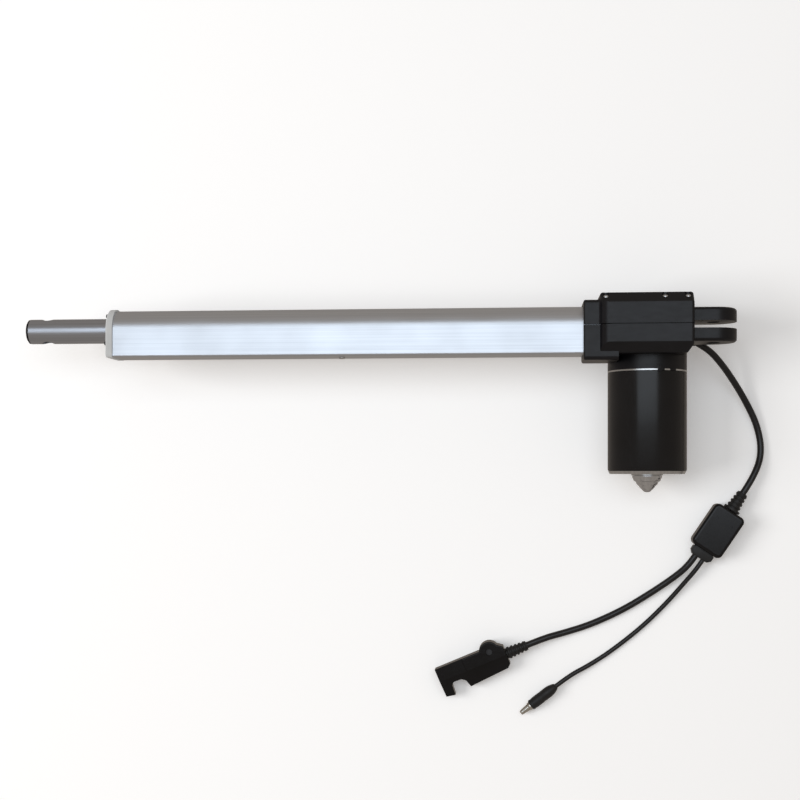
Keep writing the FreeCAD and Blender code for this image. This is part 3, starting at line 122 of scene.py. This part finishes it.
def spread(nodes, links, value, low, high, from_low=0.3, from_high=0.7):
    """Stretch a 0 to 1 value over low to high."""
    ranged = nodes.new("ShaderNodeMapRange")
    ranged.inputs["From Min"].default_value = from_low
    ranged.inputs["From Max"].default_value = from_high
    ranged.inputs["To Min"].default_value = low
    ranged.inputs["To Max"].default_value = high
    links.new(value, ranged.inputs["Value"])
    return ranged.outputs["Result"]


def blend_colours(nodes, links, value, first, second):
    """The first colour where value is 0, the second where it is 1."""
    mix = nodes.new("ShaderNodeMix")
    mix.data_type = "RGBA"
    links.new(value, mix.inputs["Factor"])
    mix.inputs["A"].default_value = (*first, 1)
    mix.inputs["B"].default_value = (*second, 1)
    return mix.outputs["Result"]


def bump(nodes, links, shader, height, strength, distance):
    """Roughen the surface by a height value, distance metres deep."""
    node = nodes.new("ShaderNodeBump")
    node.inputs["Strength"].default_value = strength
    node.inputs["Distance"].default_value = distance
    links.new(height, node.inputs["Height"])
    links.new(node.outputs["Normal"], shader.inputs["Normal"])


def grained_plastic(name, dark, light, rough, grain=1800, depth=0.00006, scuffs=0.05):
    """Moulded plastic: spark-eroded grain, faint mottling and a few scuffs."""
    material, nodes, links, shader = new_material(name)
    plain = object_coordinates(nodes, links)
    mottle = spread(nodes, links, noise(nodes, links, plain, scale=45, detail=4.0), 0, 1)
    links.new(blend_colours(nodes, links, mottle, dark, light), shader.inputs["Base Color"])
    drawn_out = object_coordinates(nodes, links, (1, 3, 1))
    wear = noise(nodes, links, drawn_out, scale=110, detail=6.0, roughness=0.7)
    links.new(spread(nodes, links, wear, rough - scuffs, rough + scuffs), shader.inputs["Roughness"])
    shader.inputs["IOR"].default_value = 1.4
    bump(nodes, links, shader, noise(nodes, links, plain, grain, detail=2.0), 0.35, depth)
    return material


def drawn_metal(name, dark, light, rough, axis, line_scale=900, depth=0.00002, metallic=1.0, anisotropy=0.0):
    """Metal with fine lines along one axis, from drawing, turning or brushing."""
    material, nodes, links, shader = new_material(name)
    stretch = [1.0, 1.0, 1.0]
    stretch["xyz".index(axis)] = 0.004
    lengthwise = object_coordinates(nodes, links, stretch)
    lines = noise(nodes, links, lengthwise, line_scale, detail=4.0, roughness=0.65)
    cloud = noise(nodes, links, object_coordinates(nodes, links), scale=18)
    links.new(blend_colours(nodes, links, spread(nodes, links, lines, 0, 1), dark, light),
              shader.inputs["Base Color"])
    links.new(spread(nodes, links, cloud, rough - 0.04, rough + 0.04), shader.inputs["Roughness"])
    shader.inputs["Metallic"].default_value = metallic
    shader.inputs["Anisotropic"].default_value = anisotropy
    bump(nodes, links, shader, lines, 0.3, depth)
    return material


def painted(name, colour, rough, coat=0.0):
    """Satin paint with a slight orange-peel ripple."""
    material, nodes, links, shader = new_material(name)
    plain = object_coordinates(nodes, links)
    cloud = noise(nodes, links, plain, scale=30)
    lighter = tuple(c * 1.5 + 0.002 for c in colour)
    links.new(blend_colours(nodes, links, spread(nodes, links, cloud, 0, 1), colour, lighter),
              shader.inputs["Base Color"])
    links.new(spread(nodes, links, cloud, rough - 0.03, rough + 0.05), shader.inputs["Roughness"])
    shader.inputs["Coat Weight"].default_value = coat
    shader.inputs["IOR"].default_value = 1.45
    shader.inputs["Coat Roughness"].default_value = 0.2
    bump(nodes, links, shader, noise(nodes, links, plain, scale=700, detail=2.0), 0.2, 0.00004)
    return material


def soft_black(name, dark, light, rough, grain=900):
    """Rubber or PVC: low sheen, a dusty bloom and a fine skin."""
    material, nodes, links, shader = new_material(name)
    plain = object_coordinates(nodes, links)
    bloom = spread(nodes, links, noise(nodes, links, plain, scale=70, detail=5.0, roughness=0.65), 0, 1)
    links.new(blend_colours(nodes, links, bloom, dark, light), shader.inputs["Base Color"])
    polish = noise(nodes, links, plain, scale=160)
    links.new(spread(nodes, links, polish, rough - 0.06, rough + 0.06), shader.inputs["Roughness"])
    shader.inputs["Sheen Weight"].default_value = 0.08
    bump(nodes, links, shader, noise(nodes, links, plain, grain, detail=2.0), 0.25, 0.00005)
    return material


# Each has its two colours, its roughness and, for metal, the axis that its lines follow.
ANODISED = drawn_metal("anodised_tube", (0.66, 0.70, 0.76), (0.78, 0.82, 0.88), 0.38, "x")
SATIN_ROD = drawn_metal("satin_rod", (0.46, 0.49, 0.54), (0.60, 0.63, 0.69), 0.32, "x", 700)
GREY_CAP = grained_plastic("grey_cap", (0.50, 0.51, 0.51), (0.60, 0.61, 0.61), 0.48)
BLACK_PLASTIC = grained_plastic("black_housing", (0.003, 0.003, 0.004), (0.006, 0.006, 0.008), 0.36)
GLOSS_PLASTIC = grained_plastic("gloss_plastic", (0.002, 0.002, 0.0025), (0.004, 0.004, 0.005), 0.2,
                                grain=1500, depth=0.00002)
BLACK_RUBBER = soft_black("black_rubber", (0.004, 0.004, 0.004), (0.008, 0.008, 0.008), 0.5)
BLACK_PVC = soft_black("black_pvc", (0.004, 0.004, 0.005), (0.007, 0.007, 0.008), 0.30, 1400)
CAN_PAINT = painted("can_paint", (0.002, 0.002, 0.0025), 0.22)
ZINC_BRIGHT = drawn_metal("bright_zinc", (0.62, 0.64, 0.67), (0.80, 0.82, 0.85), 0.2, "y", 300)
ZINC = drawn_metal("zinc_steel", (0.55, 0.56, 0.57), (0.72, 0.73, 0.74), 0.30, "y", 500)
GROUND = drawn_metal("ground_steel", (0.42, 0.43, 0.44), (0.58, 0.59, 0.60), 0.25, "x", 800)
BLACKENED = painted("blackened_steel", (0.015, 0.015, 0.017), 0.34)
NYLON = grained_plastic("white_nylon", (0.70, 0.69, 0.62), (0.80, 0.79, 0.73), 0.4, 900)
BRONZE = drawn_metal("bronze_bush", (0.36, 0.22, 0.10), (0.48, 0.32, 0.16), 0.42, "y", 300)
LAMINATION = drawn_metal("lamination", (0.20, 0.20, 0.21), (0.36, 0.36, 0.37), 0.4, "x", 1500)
ENAMEL = drawn_metal("enamel_copper", (0.45, 0.14, 0.05), (0.62, 0.24, 0.09), 0.25, "y", 1200)
COPPER = drawn_metal("bare_copper", (0.62, 0.30, 0.16), (0.80, 0.44, 0.27), 0.25, "y", 600)
FERRITE = grained_plastic("ferrite", (0.05, 0.05, 0.055), (0.08, 0.08, 0.085), 0.6, 1200)
CARBON = grained_plastic("carbon", (0.03, 0.03, 0.03), (0.06, 0.06, 0.06), 0.5, 1500)
PHENOLIC = grained_plastic("phenolic", (0.10, 0.05, 0.02), (0.15, 0.08, 0.04), 0.45, 500)
BOARD = grained_plastic("circuit_board", (0.03, 0.12, 0.05), (0.05, 0.18, 0.07), 0.35, 900)
NICKEL = drawn_metal("nickel", (0.62, 0.61, 0.57), (0.78, 0.76, 0.71), 0.22, "x", 500)

SLOT_MATERIALS = {
    "anodised_tube": ANODISED, "satin_rod": SATIN_ROD, "grey_cap": GREY_CAP,
    "black_housing": BLACK_PLASTIC, "black_rubber": BLACK_RUBBER, "black_pvc": BLACK_PVC,
    "can_paint": CAN_PAINT, "zinc_steel": ZINC, "ground_steel": GROUND, "blackened_steel": BLACKENED,
    "white_nylon": NYLON, "bronze_bush": BRONZE, "lamination": LAMINATION, "enamel_copper": ENAMEL,
    "bare_copper": COPPER, "ferrite": FERRITE, "carbon": CARBON, "phenolic": PHENOLIC,
    "circuit_board": BOARD, "nickel": NICKEL,
}


# Moulded connector parts, which are smoother and darker than the gearbox.
GLOSSY_NODES = ("y_block_lower", "y_block_upper", "power_plug_body")


def dress_frame():
    """Give every CAD node the material of its record slot."""
    for part in frame["record"]["subparts"]:
        node = frame["nodes"][part["node"]]
        node.data.materials.clear()
        glossy = part["node"] in GLOSSY_NODES
        node.data.materials.append(GLOSS_PLASTIC if glossy else SLOT_MATERIALS[part["material_slot"]])


dress_frame()


# ---------------------------------------------------------------- cables

MAIN_ROUTE = [
    (-9.6, -10.6, -26.0), (0.4, -16.0, -27.6), (11.2, -27.0, -33.2), (21.6, -39.6, -41.8),
    (33.2, -56.4, -50.0), (43.6, -77.0, -53.6), (47.2, -99.5, -53.6), (39.5, -119.3, -48.6),
    (30.85, -132.2, -48.6),
]
PLUG_ROUTE = [
    (-7.6, -183.5, -48.6), (-13.2, -191.9, -48.6), (-24.5, -201.8, -51.2), (-42.5, -214.6, -53.8),
    (-66.0, -229.2, -53.8), (-93.0, -241.8, -53.8), (-115.0, -248.7, -52.9), (-131.1, -252.7, -48.9),
    (-145.4, -258.8, -48.9),
]
LEAD_ROUTE = [
    (-1.8, -187.4, -48.6), (-7.0, -195.2, -48.6), (-16.0, -206.2, -51.8), (-29.5, -222.5, -54.6),
    (-49.5, -242.6, -54.6), (-75.0, -263.2, -54.6), (-94.5, -275.9, -53.8), (-109.6, -283.6, -51.6),
    (-121.4, -292.9, -51.6),
]
# Radii, in millimetres and then in metres.
THICK_MM = 2.7
THICK = THICK_MM * MM
THIN = 1.9 * MM


def make_cable(name, node, route, radius):
    """A round cable along a smooth curve."""
    curve = bpy.data.curves.new(name, "CURVE")
    curve.dimensions = "3D"
    curve.bevel_depth = radius
    curve.bevel_resolution = 6
    curve.use_fill_caps = True
    curve.resolution_u = 16
    spline = curve.splines.new("NURBS")
    spline.points.add(len(route) - 1)
    for point, spot in zip(spline.points, route):
        point.co = (*(c * MM for c in spot), 1)
    spline.order_u = 3
    spline.use_endpoint_u = True
    curve.materials.append(BLACK_PVC)
    cable = bpy.data.objects.new(name, curve)
    bpy.context.scene.collection.objects.link(cable)
    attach(cable, "frame")
    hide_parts(node)
    return cable


main_cable = make_cable("main_cable_sheath", "main_cable", MAIN_ROUTE, THICK)
plug_cable = make_cable("plug_cable_sheath", "plug_cable", PLUG_ROUTE, THICK)
lead_cable = make_cable("lead_cable_sheath", "lead_cable", LEAD_ROUTE, THIN)


# ---------------------------------------------------------------- mesh tools

def add_piece(name, mesh, material, body, slot, *replaced):
    """Finish a mesh as a piece of the model."""
    mesh.materials.append(material)
    piece = bpy.data.objects.new(name, mesh)
    bpy.context.scene.collection.objects.link(piece)
    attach(piece, body)
    if replaced:
        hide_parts(*replaced)
    return piece


def solid_mesh(name, build, sharp=35):
    """A closed mesh from a bmesh function, smooth except across its sharp edges."""
    work = bmesh.new()
    build(work)
    bmesh.ops.recalc_face_normals(work, faces=work.faces[:])
    mesh = bpy.data.meshes.new(name)
    work.to_mesh(mesh)
    work.free()
    mesh.shade_smooth()
    mesh.set_sharp_from_angle(angle=math.radians(sharp))
    return mesh


def placed(base, way):
    """The transform that lays a shape drawn along +Z on a line from base, in millimetres."""
    turn = Vector(way).to_track_quat("Z", "Y").to_matrix().to_4x4()
    return Matrix.Translation(Vector(base) * MM) @ turn @ Matrix.Scale(MM, 4)


def add_lathe(work, profile, transform, segments=48, closed=False):
    """Turn (radius, station) points about Z.  An open profile is capped at both ends."""
    rings = []
    for radius, station in profile:
        if radius < 1e-6:
            rings.append([work.verts.new(transform @ Vector((0, 0, station)))])
            continue
        ring = []
        for i in range(segments):
            angle = 2 * math.pi * i / segments
            spot = Vector((radius * math.cos(angle), radius * math.sin(angle), station))
            ring.append(work.verts.new(transform @ spot))
        rings.append(ring)
    pairs = list(zip(rings, rings[1:]))
    if closed:
        pairs.append((rings[-1], rings[0]))
    for low, high in pairs:
        for i in range(segments):
            j = (i + 1) % segments
            corners = [low[i % len(low)], low[j % len(low)], high[j % len(high)], high[i % len(high)]]
            unique = list(dict.fromkeys(corners))
            if len(unique) > 2:
                work.faces.new(unique)
    if not closed:
        for ring in (rings[0], rings[-1]):
            if len(ring) > 2:
                work.faces.new(ring)


def add_prism(work, outline, low, high, transform, bevel=0.0, segments=3):
    """Extrude a flat outline from low to high along Z, with its edges rounded."""
    inner = bmesh.new()
    base = [inner.verts.new(Vector((x, y, low))) for x, y in outline]
    face = inner.faces.new(base)
    top = bmesh.ops.extrude_face_region(inner, geom=[face])
    bmesh.ops.translate(inner, vec=(0, 0, high - low),
                        verts=[v for v in top["geom"] if isinstance(v, bmesh.types.BMVert)])
    if bevel:
        bmesh.ops.bevel(inner, geom=inner.edges[:], offset=bevel, segments=segments,
                        profile=0.5, affect="EDGES", clamp_overlap=True)
    inner.transform(transform)
    scratch = bpy.data.meshes.new("scratch")
    inner.to_mesh(scratch)
    inner.free()
    work.from_mesh(scratch)
    bpy.data.meshes.remove(scratch)


# ---------------------------------------------------------------- strain reliefs

def route_end(route, at_start):
    """The end point of a route and the way its end run points into the route."""
    points = [Vector(p) for p in (route if at_start else route[::-1])]
    return points[0], (points[1] - points[0]).normalized()


FLANGE_THICKNESS = 2.0
FLANGE_EDGE = 0.3
RIB_DEPTH = 0.75
RIB_SHOULDER = 0.15
LIP_LENGTH = 1.0


def ribbed_profile(length, root, tip, ribs, flange=0.0):
    """A taper from root to tip with rounded ribs, ending in a lip round the thick cable."""
    profile = [(0, 0)]
    start = 0.0
    if flange:
        start = FLANGE_THICKNESS
        profile += [(flange - FLANGE_EDGE, 0), (flange, FLANGE_EDGE), (flange, start - FLANGE_EDGE),
                    (flange - FLANGE_EDGE, start)]
    pitch = (length - start - LIP_LENGTH) / ribs
    for i in range(ribs):
        here = start + pitch * i
        swell = root + (tip - root) * (here / length)
        waist = swell - RIB_DEPTH
        shoulder = swell - RIB_SHOULDER
        profile += [
            (waist, here + 0.02), (waist, here + pitch * 0.30), (shoulder, here + pitch * 0.42),
            (swell, here + pitch * 0.55), (swell, here + pitch * 0.78), (shoulder, here + pitch * 0.90),
            (waist, here + pitch * 0.98),
        ]
    profile += [(tip, length - 0.9), (tip - 0.1, length - 0.2), (THICK_MM + 0.15, length), (0, length)]
    return profile


def make_boot(name, node, route, at_start, length, root, tip, ribs, flange=0.0):
    """A ribbed rubber boot over one end of a thick cable, with its root at the body it leaves."""
    end, way = route_end(route, at_start)
    profile = ribbed_profile(length, root, tip, ribs, flange)
    mesh = solid_mesh(name, lambda work: add_lathe(work, profile, placed(end - way * length, way)), 40)
    return add_piece(name, mesh, BLACK_RUBBER, "frame", "black_rubber", node)


gland_boot = make_boot("gland_boot", "cable_gland", MAIN_ROUTE, True,
                       length=7.2, root=4.5, tip=3.4, ribs=3)
entry_boot = make_boot("entry_boot", "y_block_entry_boot", MAIN_ROUTE, False,
                       length=17.0, root=5.9, tip=4.3, ribs=4, flange=7.0)
plug_boot = make_boot("plug_boot", "power_plug_boot", PLUG_ROUTE, False,
                      length=18.2, root=5.1, tip=4.0, ribs=5)

# Where the main cable leaves the rear wall of the housing.
GLAND_Y = -6.8
GLAND_Z = -25.0


def make_gland_collar():
    """The rubber bead round the cable hole in the housing."""
    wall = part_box("housing_upper")[1].x
    base = Vector((wall, GLAND_Y * MM, GLAND_Z * MM)) / MM
    profile = [(0, -7), (3.4, -7), (3.4, 0), (5.1, 0), (5.2, 0.3), (5.2, 1.6), (4.9, 2.1), (4.2, 2.2),
               (0, 2.2)]
    mesh = solid_mesh("gland_collar", lambda work: add_lathe(work, profile, placed(base, (1, 0, 0))))
    return add_piece("gland_collar", mesh, BLACK_RUBBER, "frame", "black_rubber")


gland_collar = make_gland_collar()

# The junction box's middle, and the way that it points in degrees from +X.
BLOCK_CENTRE = (10.2, -163.0, -48.6)
BLOCK_HEADING = 236.2
NOZZLE_HALF_HEIGHT = 4.4


def in_block(x, y, z=0.0):
    """The transform of the junction box's own frame, moved to a point in it."""
    return (Matrix.Scale(MM, 4) @ Matrix.Translation(BLOCK_CENTRE)
            @ Matrix.Rotation(math.radians(BLOCK_HEADING), 4, "Z") @ Matrix.Translation((x, y, z)))


def make_nozzle():
    """The flat rubber block that both branches leave, with cut-back corners."""
    outline = [(17.6, -8.3), (20.0, -8.3), (20.0, -9.5), (24.2, -9.5), (26.9, -6.8), (26.9, 6.8),
               (24.2, 9.5), (20.0, 9.5), (20.0, 8.3), (17.6, 8.3)]

    def build(work):
        add_prism(work, outline, -NOZZLE_HALF_HEIGHT, NOZZLE_HALF_HEIGHT, in_block(0, 0), bevel=0.5)

    mesh = solid_mesh("outlet_nozzle", build, 50)
    return add_piece("outlet_nozzle", mesh, BLACK_RUBBER, "frame", "black_rubber", "y_block_outlet_nozzle")


nozzle = make_nozzle()


# ---------------------------------------------------------------- small plug

KNURL_START = 28.8
KNURL_PITCH = 1.3
KNURL_RINGS = 5
KNURL_RADIUS = 2.78
# Each ring is this much slimmer than the one before, and its groove is this deep.
KNURL_TAPER = 0.13
KNURL_DEPTH = 0.25


def make_lead_plug():
    """The moulded grip and the knurled metal barrel of the small plug."""
    end, way = route_end(LEAD_ROUTE, False)
    root = placed(end, -way)
    grip = [(0, 0), (2.1, 0.02), (2.6, 0.4), (3.0, 1.2), (3.7, 3.0), (4.3, 5.4), (4.55, 7.6), (4.58, 13.0),
            (4.45, 14.0), (4.45, 15.2), (4.58, 16.2), (4.55, 22.0), (4.3, 23.6), (4.3, 24.4), (4.45, 24.8),
            (4.4, 25.8), (4.0, 26.4), (0, 26.45)]
    mesh = solid_mesh("lead_plug_grip", lambda work: add_lathe(work, grip, root), 40)
    grip_piece = add_piece("lead_plug_grip", mesh, BLACK_RUBBER, "frame", "black_rubber", "lead_plug_body")
    barrel = [(0, 26.5), (3.3, 26.5), (3.35, 26.8), (3.35, 28.0), (3.1, 28.4), (2.8, 28.6)]
    for i in range(KNURL_RINGS):
        here = KNURL_START + i * KNURL_PITCH
        wide = KNURL_RADIUS - KNURL_TAPER * i
        groove = wide - KNURL_DEPTH
        barrel += [(groove, here), (wide, here + 0.25), (wide, here + 0.8), (groove, here + 1.05)]
    barrel += [(2.05, 35.6), (1.95, 36.4), (1.6, 36.9), (0, 36.95)]
    mesh = solid_mesh("lead_plug_tip", lambda work: add_lathe(work, barrel, root), 40)
    tip_piece = add_piece("lead_plug_tip", mesh, NICKEL, "frame", "nickel", "lead_plug_barrel")
    return grip_piece, tip_piece


lead_grip, lead_tip = make_lead_plug()


# ---------------------------------------------------------------- screws

def cross_recess(mesh, arm, half_width, depth, top):
    """Sink a cross recess into the top of a screw head drawn along Z, in millimetres."""
    outline = [(-arm, -half_width), (arm, -half_width), (arm, half_width), (-arm, half_width)]
    work = bmesh.new()
    for degrees in (0, 90):
        turn = Matrix.Rotation(math.radians(degrees), 4, "Z")
        add_prism(work, outline, top - depth, top + 1, turn)
    cutter_mesh = bpy.data.meshes.new("cutter")
    work.to_mesh(cutter_mesh)
    work.free()
    head = bpy.data.objects.new("head", mesh)
    cutter = bpy.data.objects.new("cutter", cutter_mesh)
    for thing in (head, cutter):
        bpy.context.scene.collection.objects.link(thing)
    modifier = head.modifiers.new("recess", "BOOLEAN")
    modifier.object = cutter
    modifier.operation = "DIFFERENCE"
    modifier.solver = "EXACT"
    modifier.use_self = True
    bpy.context.view_layer.update()
    evaluated = head.evaluated_get(bpy.context.evaluated_depsgraph_get())
    result = bpy.data.meshes.new_from_object(evaluated)
    for thing in (head, cutter):
        bpy.data.objects.remove(thing)
    return result


def screw_head(radius, height, dome):
    """One screw with a domed, cross-recessed head and a short shank."""
    shank = radius * 0.55
    profile = [(0, -4), (shank, -4), (shank, 0), (radius - 0.15, 0), (radius, 0.15), (radius, height - dome),
               (radius * 0.92, height - dome * 0.55), (radius * 0.7, height - dome * 0.2),
               (radius * 0.4, height - dome * 0.05), (0, height)]
    mesh = solid_mesh("head", lambda work: add_lathe(work, profile, Matrix.Identity(4), 32), 40)
    return cross_recess(mesh, arm=radius * 0.55, half_width=radius * 0.13, depth=height * 0.55, top=height)


def make_screws(name, node, material, slot, seats, way, radius, height, dome):
    """Screws at several seats, each seat being the point under a head, in millimetres."""
    head = screw_head(radius, height, dome)
    work = bmesh.new()
    for seat in seats:
        copy = head.copy()
        copy.transform(placed(seat, way))
        work.from_mesh(copy)
        bpy.data.meshes.remove(copy)
    mesh = bpy.data.meshes.new(name)
    work.to_mesh(mesh)
    work.free()
    mesh.shade_smooth()
    mesh.set_sharp_from_angle(angle=math.radians(40))
    mesh.materials.clear()
    return add_piece(name, mesh, material, "frame", slot, node)


HOUSING_SCREW_SEAT = 20.3
HOUSING_SCREW_X = (-85.0, -39.5, -22.0)
HOUSING_SCREW_Z = (20.8, -32.5)
# Each cap screw's angle from straight up, and its reach from the rod's axis.
CAP_SCREWS = ((40, 14.4), (-40, 14.4), (128, 18.0), (-128, 18.0))
TUBE_SCREW_X = -294.0


def cap_seats():
    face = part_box("front_cap")[0].x / MM
    return [(face, reach * math.cos(math.radians(angle)), reach * math.sin(math.radians(angle)))
            for angle, reach in CAP_SCREWS]


housing_seats = [(x, HOUSING_SCREW_SEAT, z) for x in HOUSING_SCREW_X for z in HOUSING_SCREW_Z]
tube_seats = [(TUBE_SCREW_X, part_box("outer_tube")[0].y / MM, 0)]
make_screws("housing_screw_heads", "housing_screws", ZINC, "zinc_steel", housing_seats, (0, 1, 0),
            radius=2.2, height=2.0, dome=0.7)
make_screws("cap_screw_heads", "cap_screws", BLACKENED, "blackened_steel", cap_seats(), (-1, 0, 0),
            radius=1.75, height=1.5, dome=0.6)
make_screws("tube_screw_head", "tube_screw", ZINC, "zinc_steel", tube_seats, (0, -1, 0),
            radius=2.6, height=1.5, dome=0.6)


# ---------------------------------------------------------------- motor trim

MOTOR_X = -49.0
MOTOR_Z = -25.0
CAN_WALL = 2.0


def make_motor_can():
    """The drawn can, with a rolled lip at its open end."""
    low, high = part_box("motor_can")
    end, top = low.y / MM, high.y / MM
    outer = (high.x - low.x) / MM / 2
    inner = outer - CAN_WALL
    length = top - end
    profile = [(inner, 0.3), (inner + 0.3, 0), (outer - 1.1, 0), (outer - 0.5, 0.15),
               (outer - 0.15, 0.5), (outer, 1.1), (outer, length - 0.5), (outer - 0.3, length),
               (inner, length)]
    place = placed((MOTOR_X, end, MOTOR_Z), (0, 1, 0))
    mesh = solid_mesh("motor_can_shell", lambda work: add_lathe(work, profile, place, 160, True), 30)
    return add_piece("motor_can_shell", mesh, CAN_PAINT, "frame", "can_paint", "motor_can")


def make_motor_nose():
    """The pressed bearing cup: a stepped, blunt cone with a rolled foot."""
    tip, top = (corner.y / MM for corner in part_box("motor_bearing_cup"))
    place = placed((MOTOR_X, top, MOTOR_Z), (0, -1, 0))
    reach = top - tip
    outside = [(8.05, 0), (9.9, 0), (9.9, 5.2), (11.6, 5.2), (11.9, 5.6), (11.9, 6.6), (11.5, 7.4),
               (11.0, 8.2), (10.9, 9.0), (10.3, 9.7), (9.3, 10.2), (8.9, 10.6), (8.7, 11.4), (8.1, 12.4),
               (7.2, 13.2), (6.6, 13.7), (6.4, 14.2), (5.4, 15.4), (4.2, 16.6), (3.4, 17.3), (2.9, 17.9),
               (2.0, reach - 0.25), (1.0, reach - 0.05), (0, reach)]
    inside = [(0, reach - 1.5), (2.2, reach - 2.6), (6.4, 11.5), (8.05, 10.2)]
    mesh = solid_mesh("motor_nose", lambda work: add_lathe(work, outside + inside, place, 96, True), 30)
    return add_piece("motor_nose", mesh, ZINC_BRIGHT, "frame", "zinc_steel", "motor_bearing_cup")


RING_RADIUS = 31.5
CLIP_SUNK = 0.2
CLIP_PROUD = 0.35
CLIP_STEPS = 6


def clip_section(left, right):
    """The curved outline of a tab on the ring, between two distances from the motor's middle."""
    first, last = math.asin(left / RING_RADIUS), math.asin(right / RING_RADIUS)
    forward = range(CLIP_STEPS + 1)
    section = []
    for reach, steps in ((RING_RADIUS - CLIP_SUNK, forward), (RING_RADIUS + CLIP_PROUD, reversed(forward))):
        for step in steps:
            angle = first + (last - first) * step / CLIP_STEPS
            section.append((MOTOR_X + reach * math.sin(angle), MOTOR_Z + reach * math.cos(angle)))
    return section


def make_flange_clips():
    """Black locating tabs that cross the bright ring between the neck and the can."""
    ring_low, ring_high = (corner.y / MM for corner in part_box("motor_flange"))
    clips = [(5.3, 8.6, ring_low - 1.6, ring_high + 3.4), (8.6, 10.8, ring_low - 0.2, ring_high + 0.3),
             (15.4, 20.0, ring_low - 0.2, ring_high + 0.3)]
    # Lays a section drawn in X and Z along the motor's axis, Y.
    along_motor = Matrix(((1, 0, 0, 0), (0, 0, 1, 0), (0, 1, 0, 0), (0, 0, 0, 1)))

    def build(work):
        for left, right, low, high in clips:
            place = Matrix.Scale(MM, 4) @ along_motor
            add_prism(work, clip_section(left, right), low, high, place, bevel=0.08, segments=2)

    mesh = solid_mesh("flange_clips", build, 30)
    return add_piece("flange_clips", mesh, BLACK_PLASTIC, "frame", "black_housing")


make_motor_can()
make_motor_nose()
make_flange_clips()


# ---------------------------------------------------------------- floor and light

FLOOR_HALF = 6.0
FLOOR_GAP = 0.0002


def make_stage():
    """A plain pale floor just under the object, kept out of the object's reflections."""
    mesh = bpy.data.meshes.new("floor")
    size = FLOOR_HALF
    z = FLOOR - FLOOR_GAP
    corners = [(-size, -size, z), (size, -size, z), (size, size, z), (-size, size, z)]
    mesh.from_pydata(corners, [], [(0, 1, 2, 3)])
    floor = bpy.data.objects.new("floor", mesh)
    bpy.context.scene.collection.objects.link(floor)
    material, nodes, links, shader = new_material("pale_floor")
    shader.inputs["Base Color"].default_value = (0.93, 0.93, 0.93, 1)
    shader.inputs["Roughness"].default_value = 0.9
    shader.inputs["Specular IOR Level"].default_value = 0.1
    shader.inputs["Emission Color"].default_value = (1, 1, 1, 1)
    shader.inputs["Emission Strength"].default_value = 0.2
    mesh.materials.append(material)
    floor.visible_glossy = False


def area_light(name, place, aim, width, height, power, colour=(1, 1, 1)):
    """A rectangular light that faces a point, with its power in watts."""
    data = bpy.data.lights.new(name, "AREA")
    data.shape = "RECTANGLE"
    data.size = width
    data.size_y = height
    data.energy = power
    data.color = colour
    light = bpy.data.objects.new(name, data)
    bpy.context.scene.collection.objects.link(light)
    light.location = place
    light.rotation_mode = "QUATERNION"
    light.rotation_quaternion = (Vector(aim) - Vector(place)).to_track_quat("-Z", "Y")
    return light


def make_light():
    """A broad cool light overhead and a soft fill from the left, in a dim warm room."""
    world = bpy.data.worlds.new("world")
    bpy.context.scene.world = world
    world.use_nodes = True
    background = world.node_tree.nodes["Background"]
    background.inputs["Color"].default_value = (1.0, 0.88, 0.77, 1)
    background.inputs["Strength"].default_value = 0.3
    middle = (-0.25, -0.1, 0)
    area_light("overhead", (-0.26, 0.29, 1.9), middle, width=2.2, height=1.1, power=11.5,
               colour=(0.80, 0.90, 1.0))
    fill = area_light("left", (-2.8, -0.1, 2.0), middle, width=1.6, height=1.6, power=62)
    fill.visible_glossy = False


make_stage()
make_light()
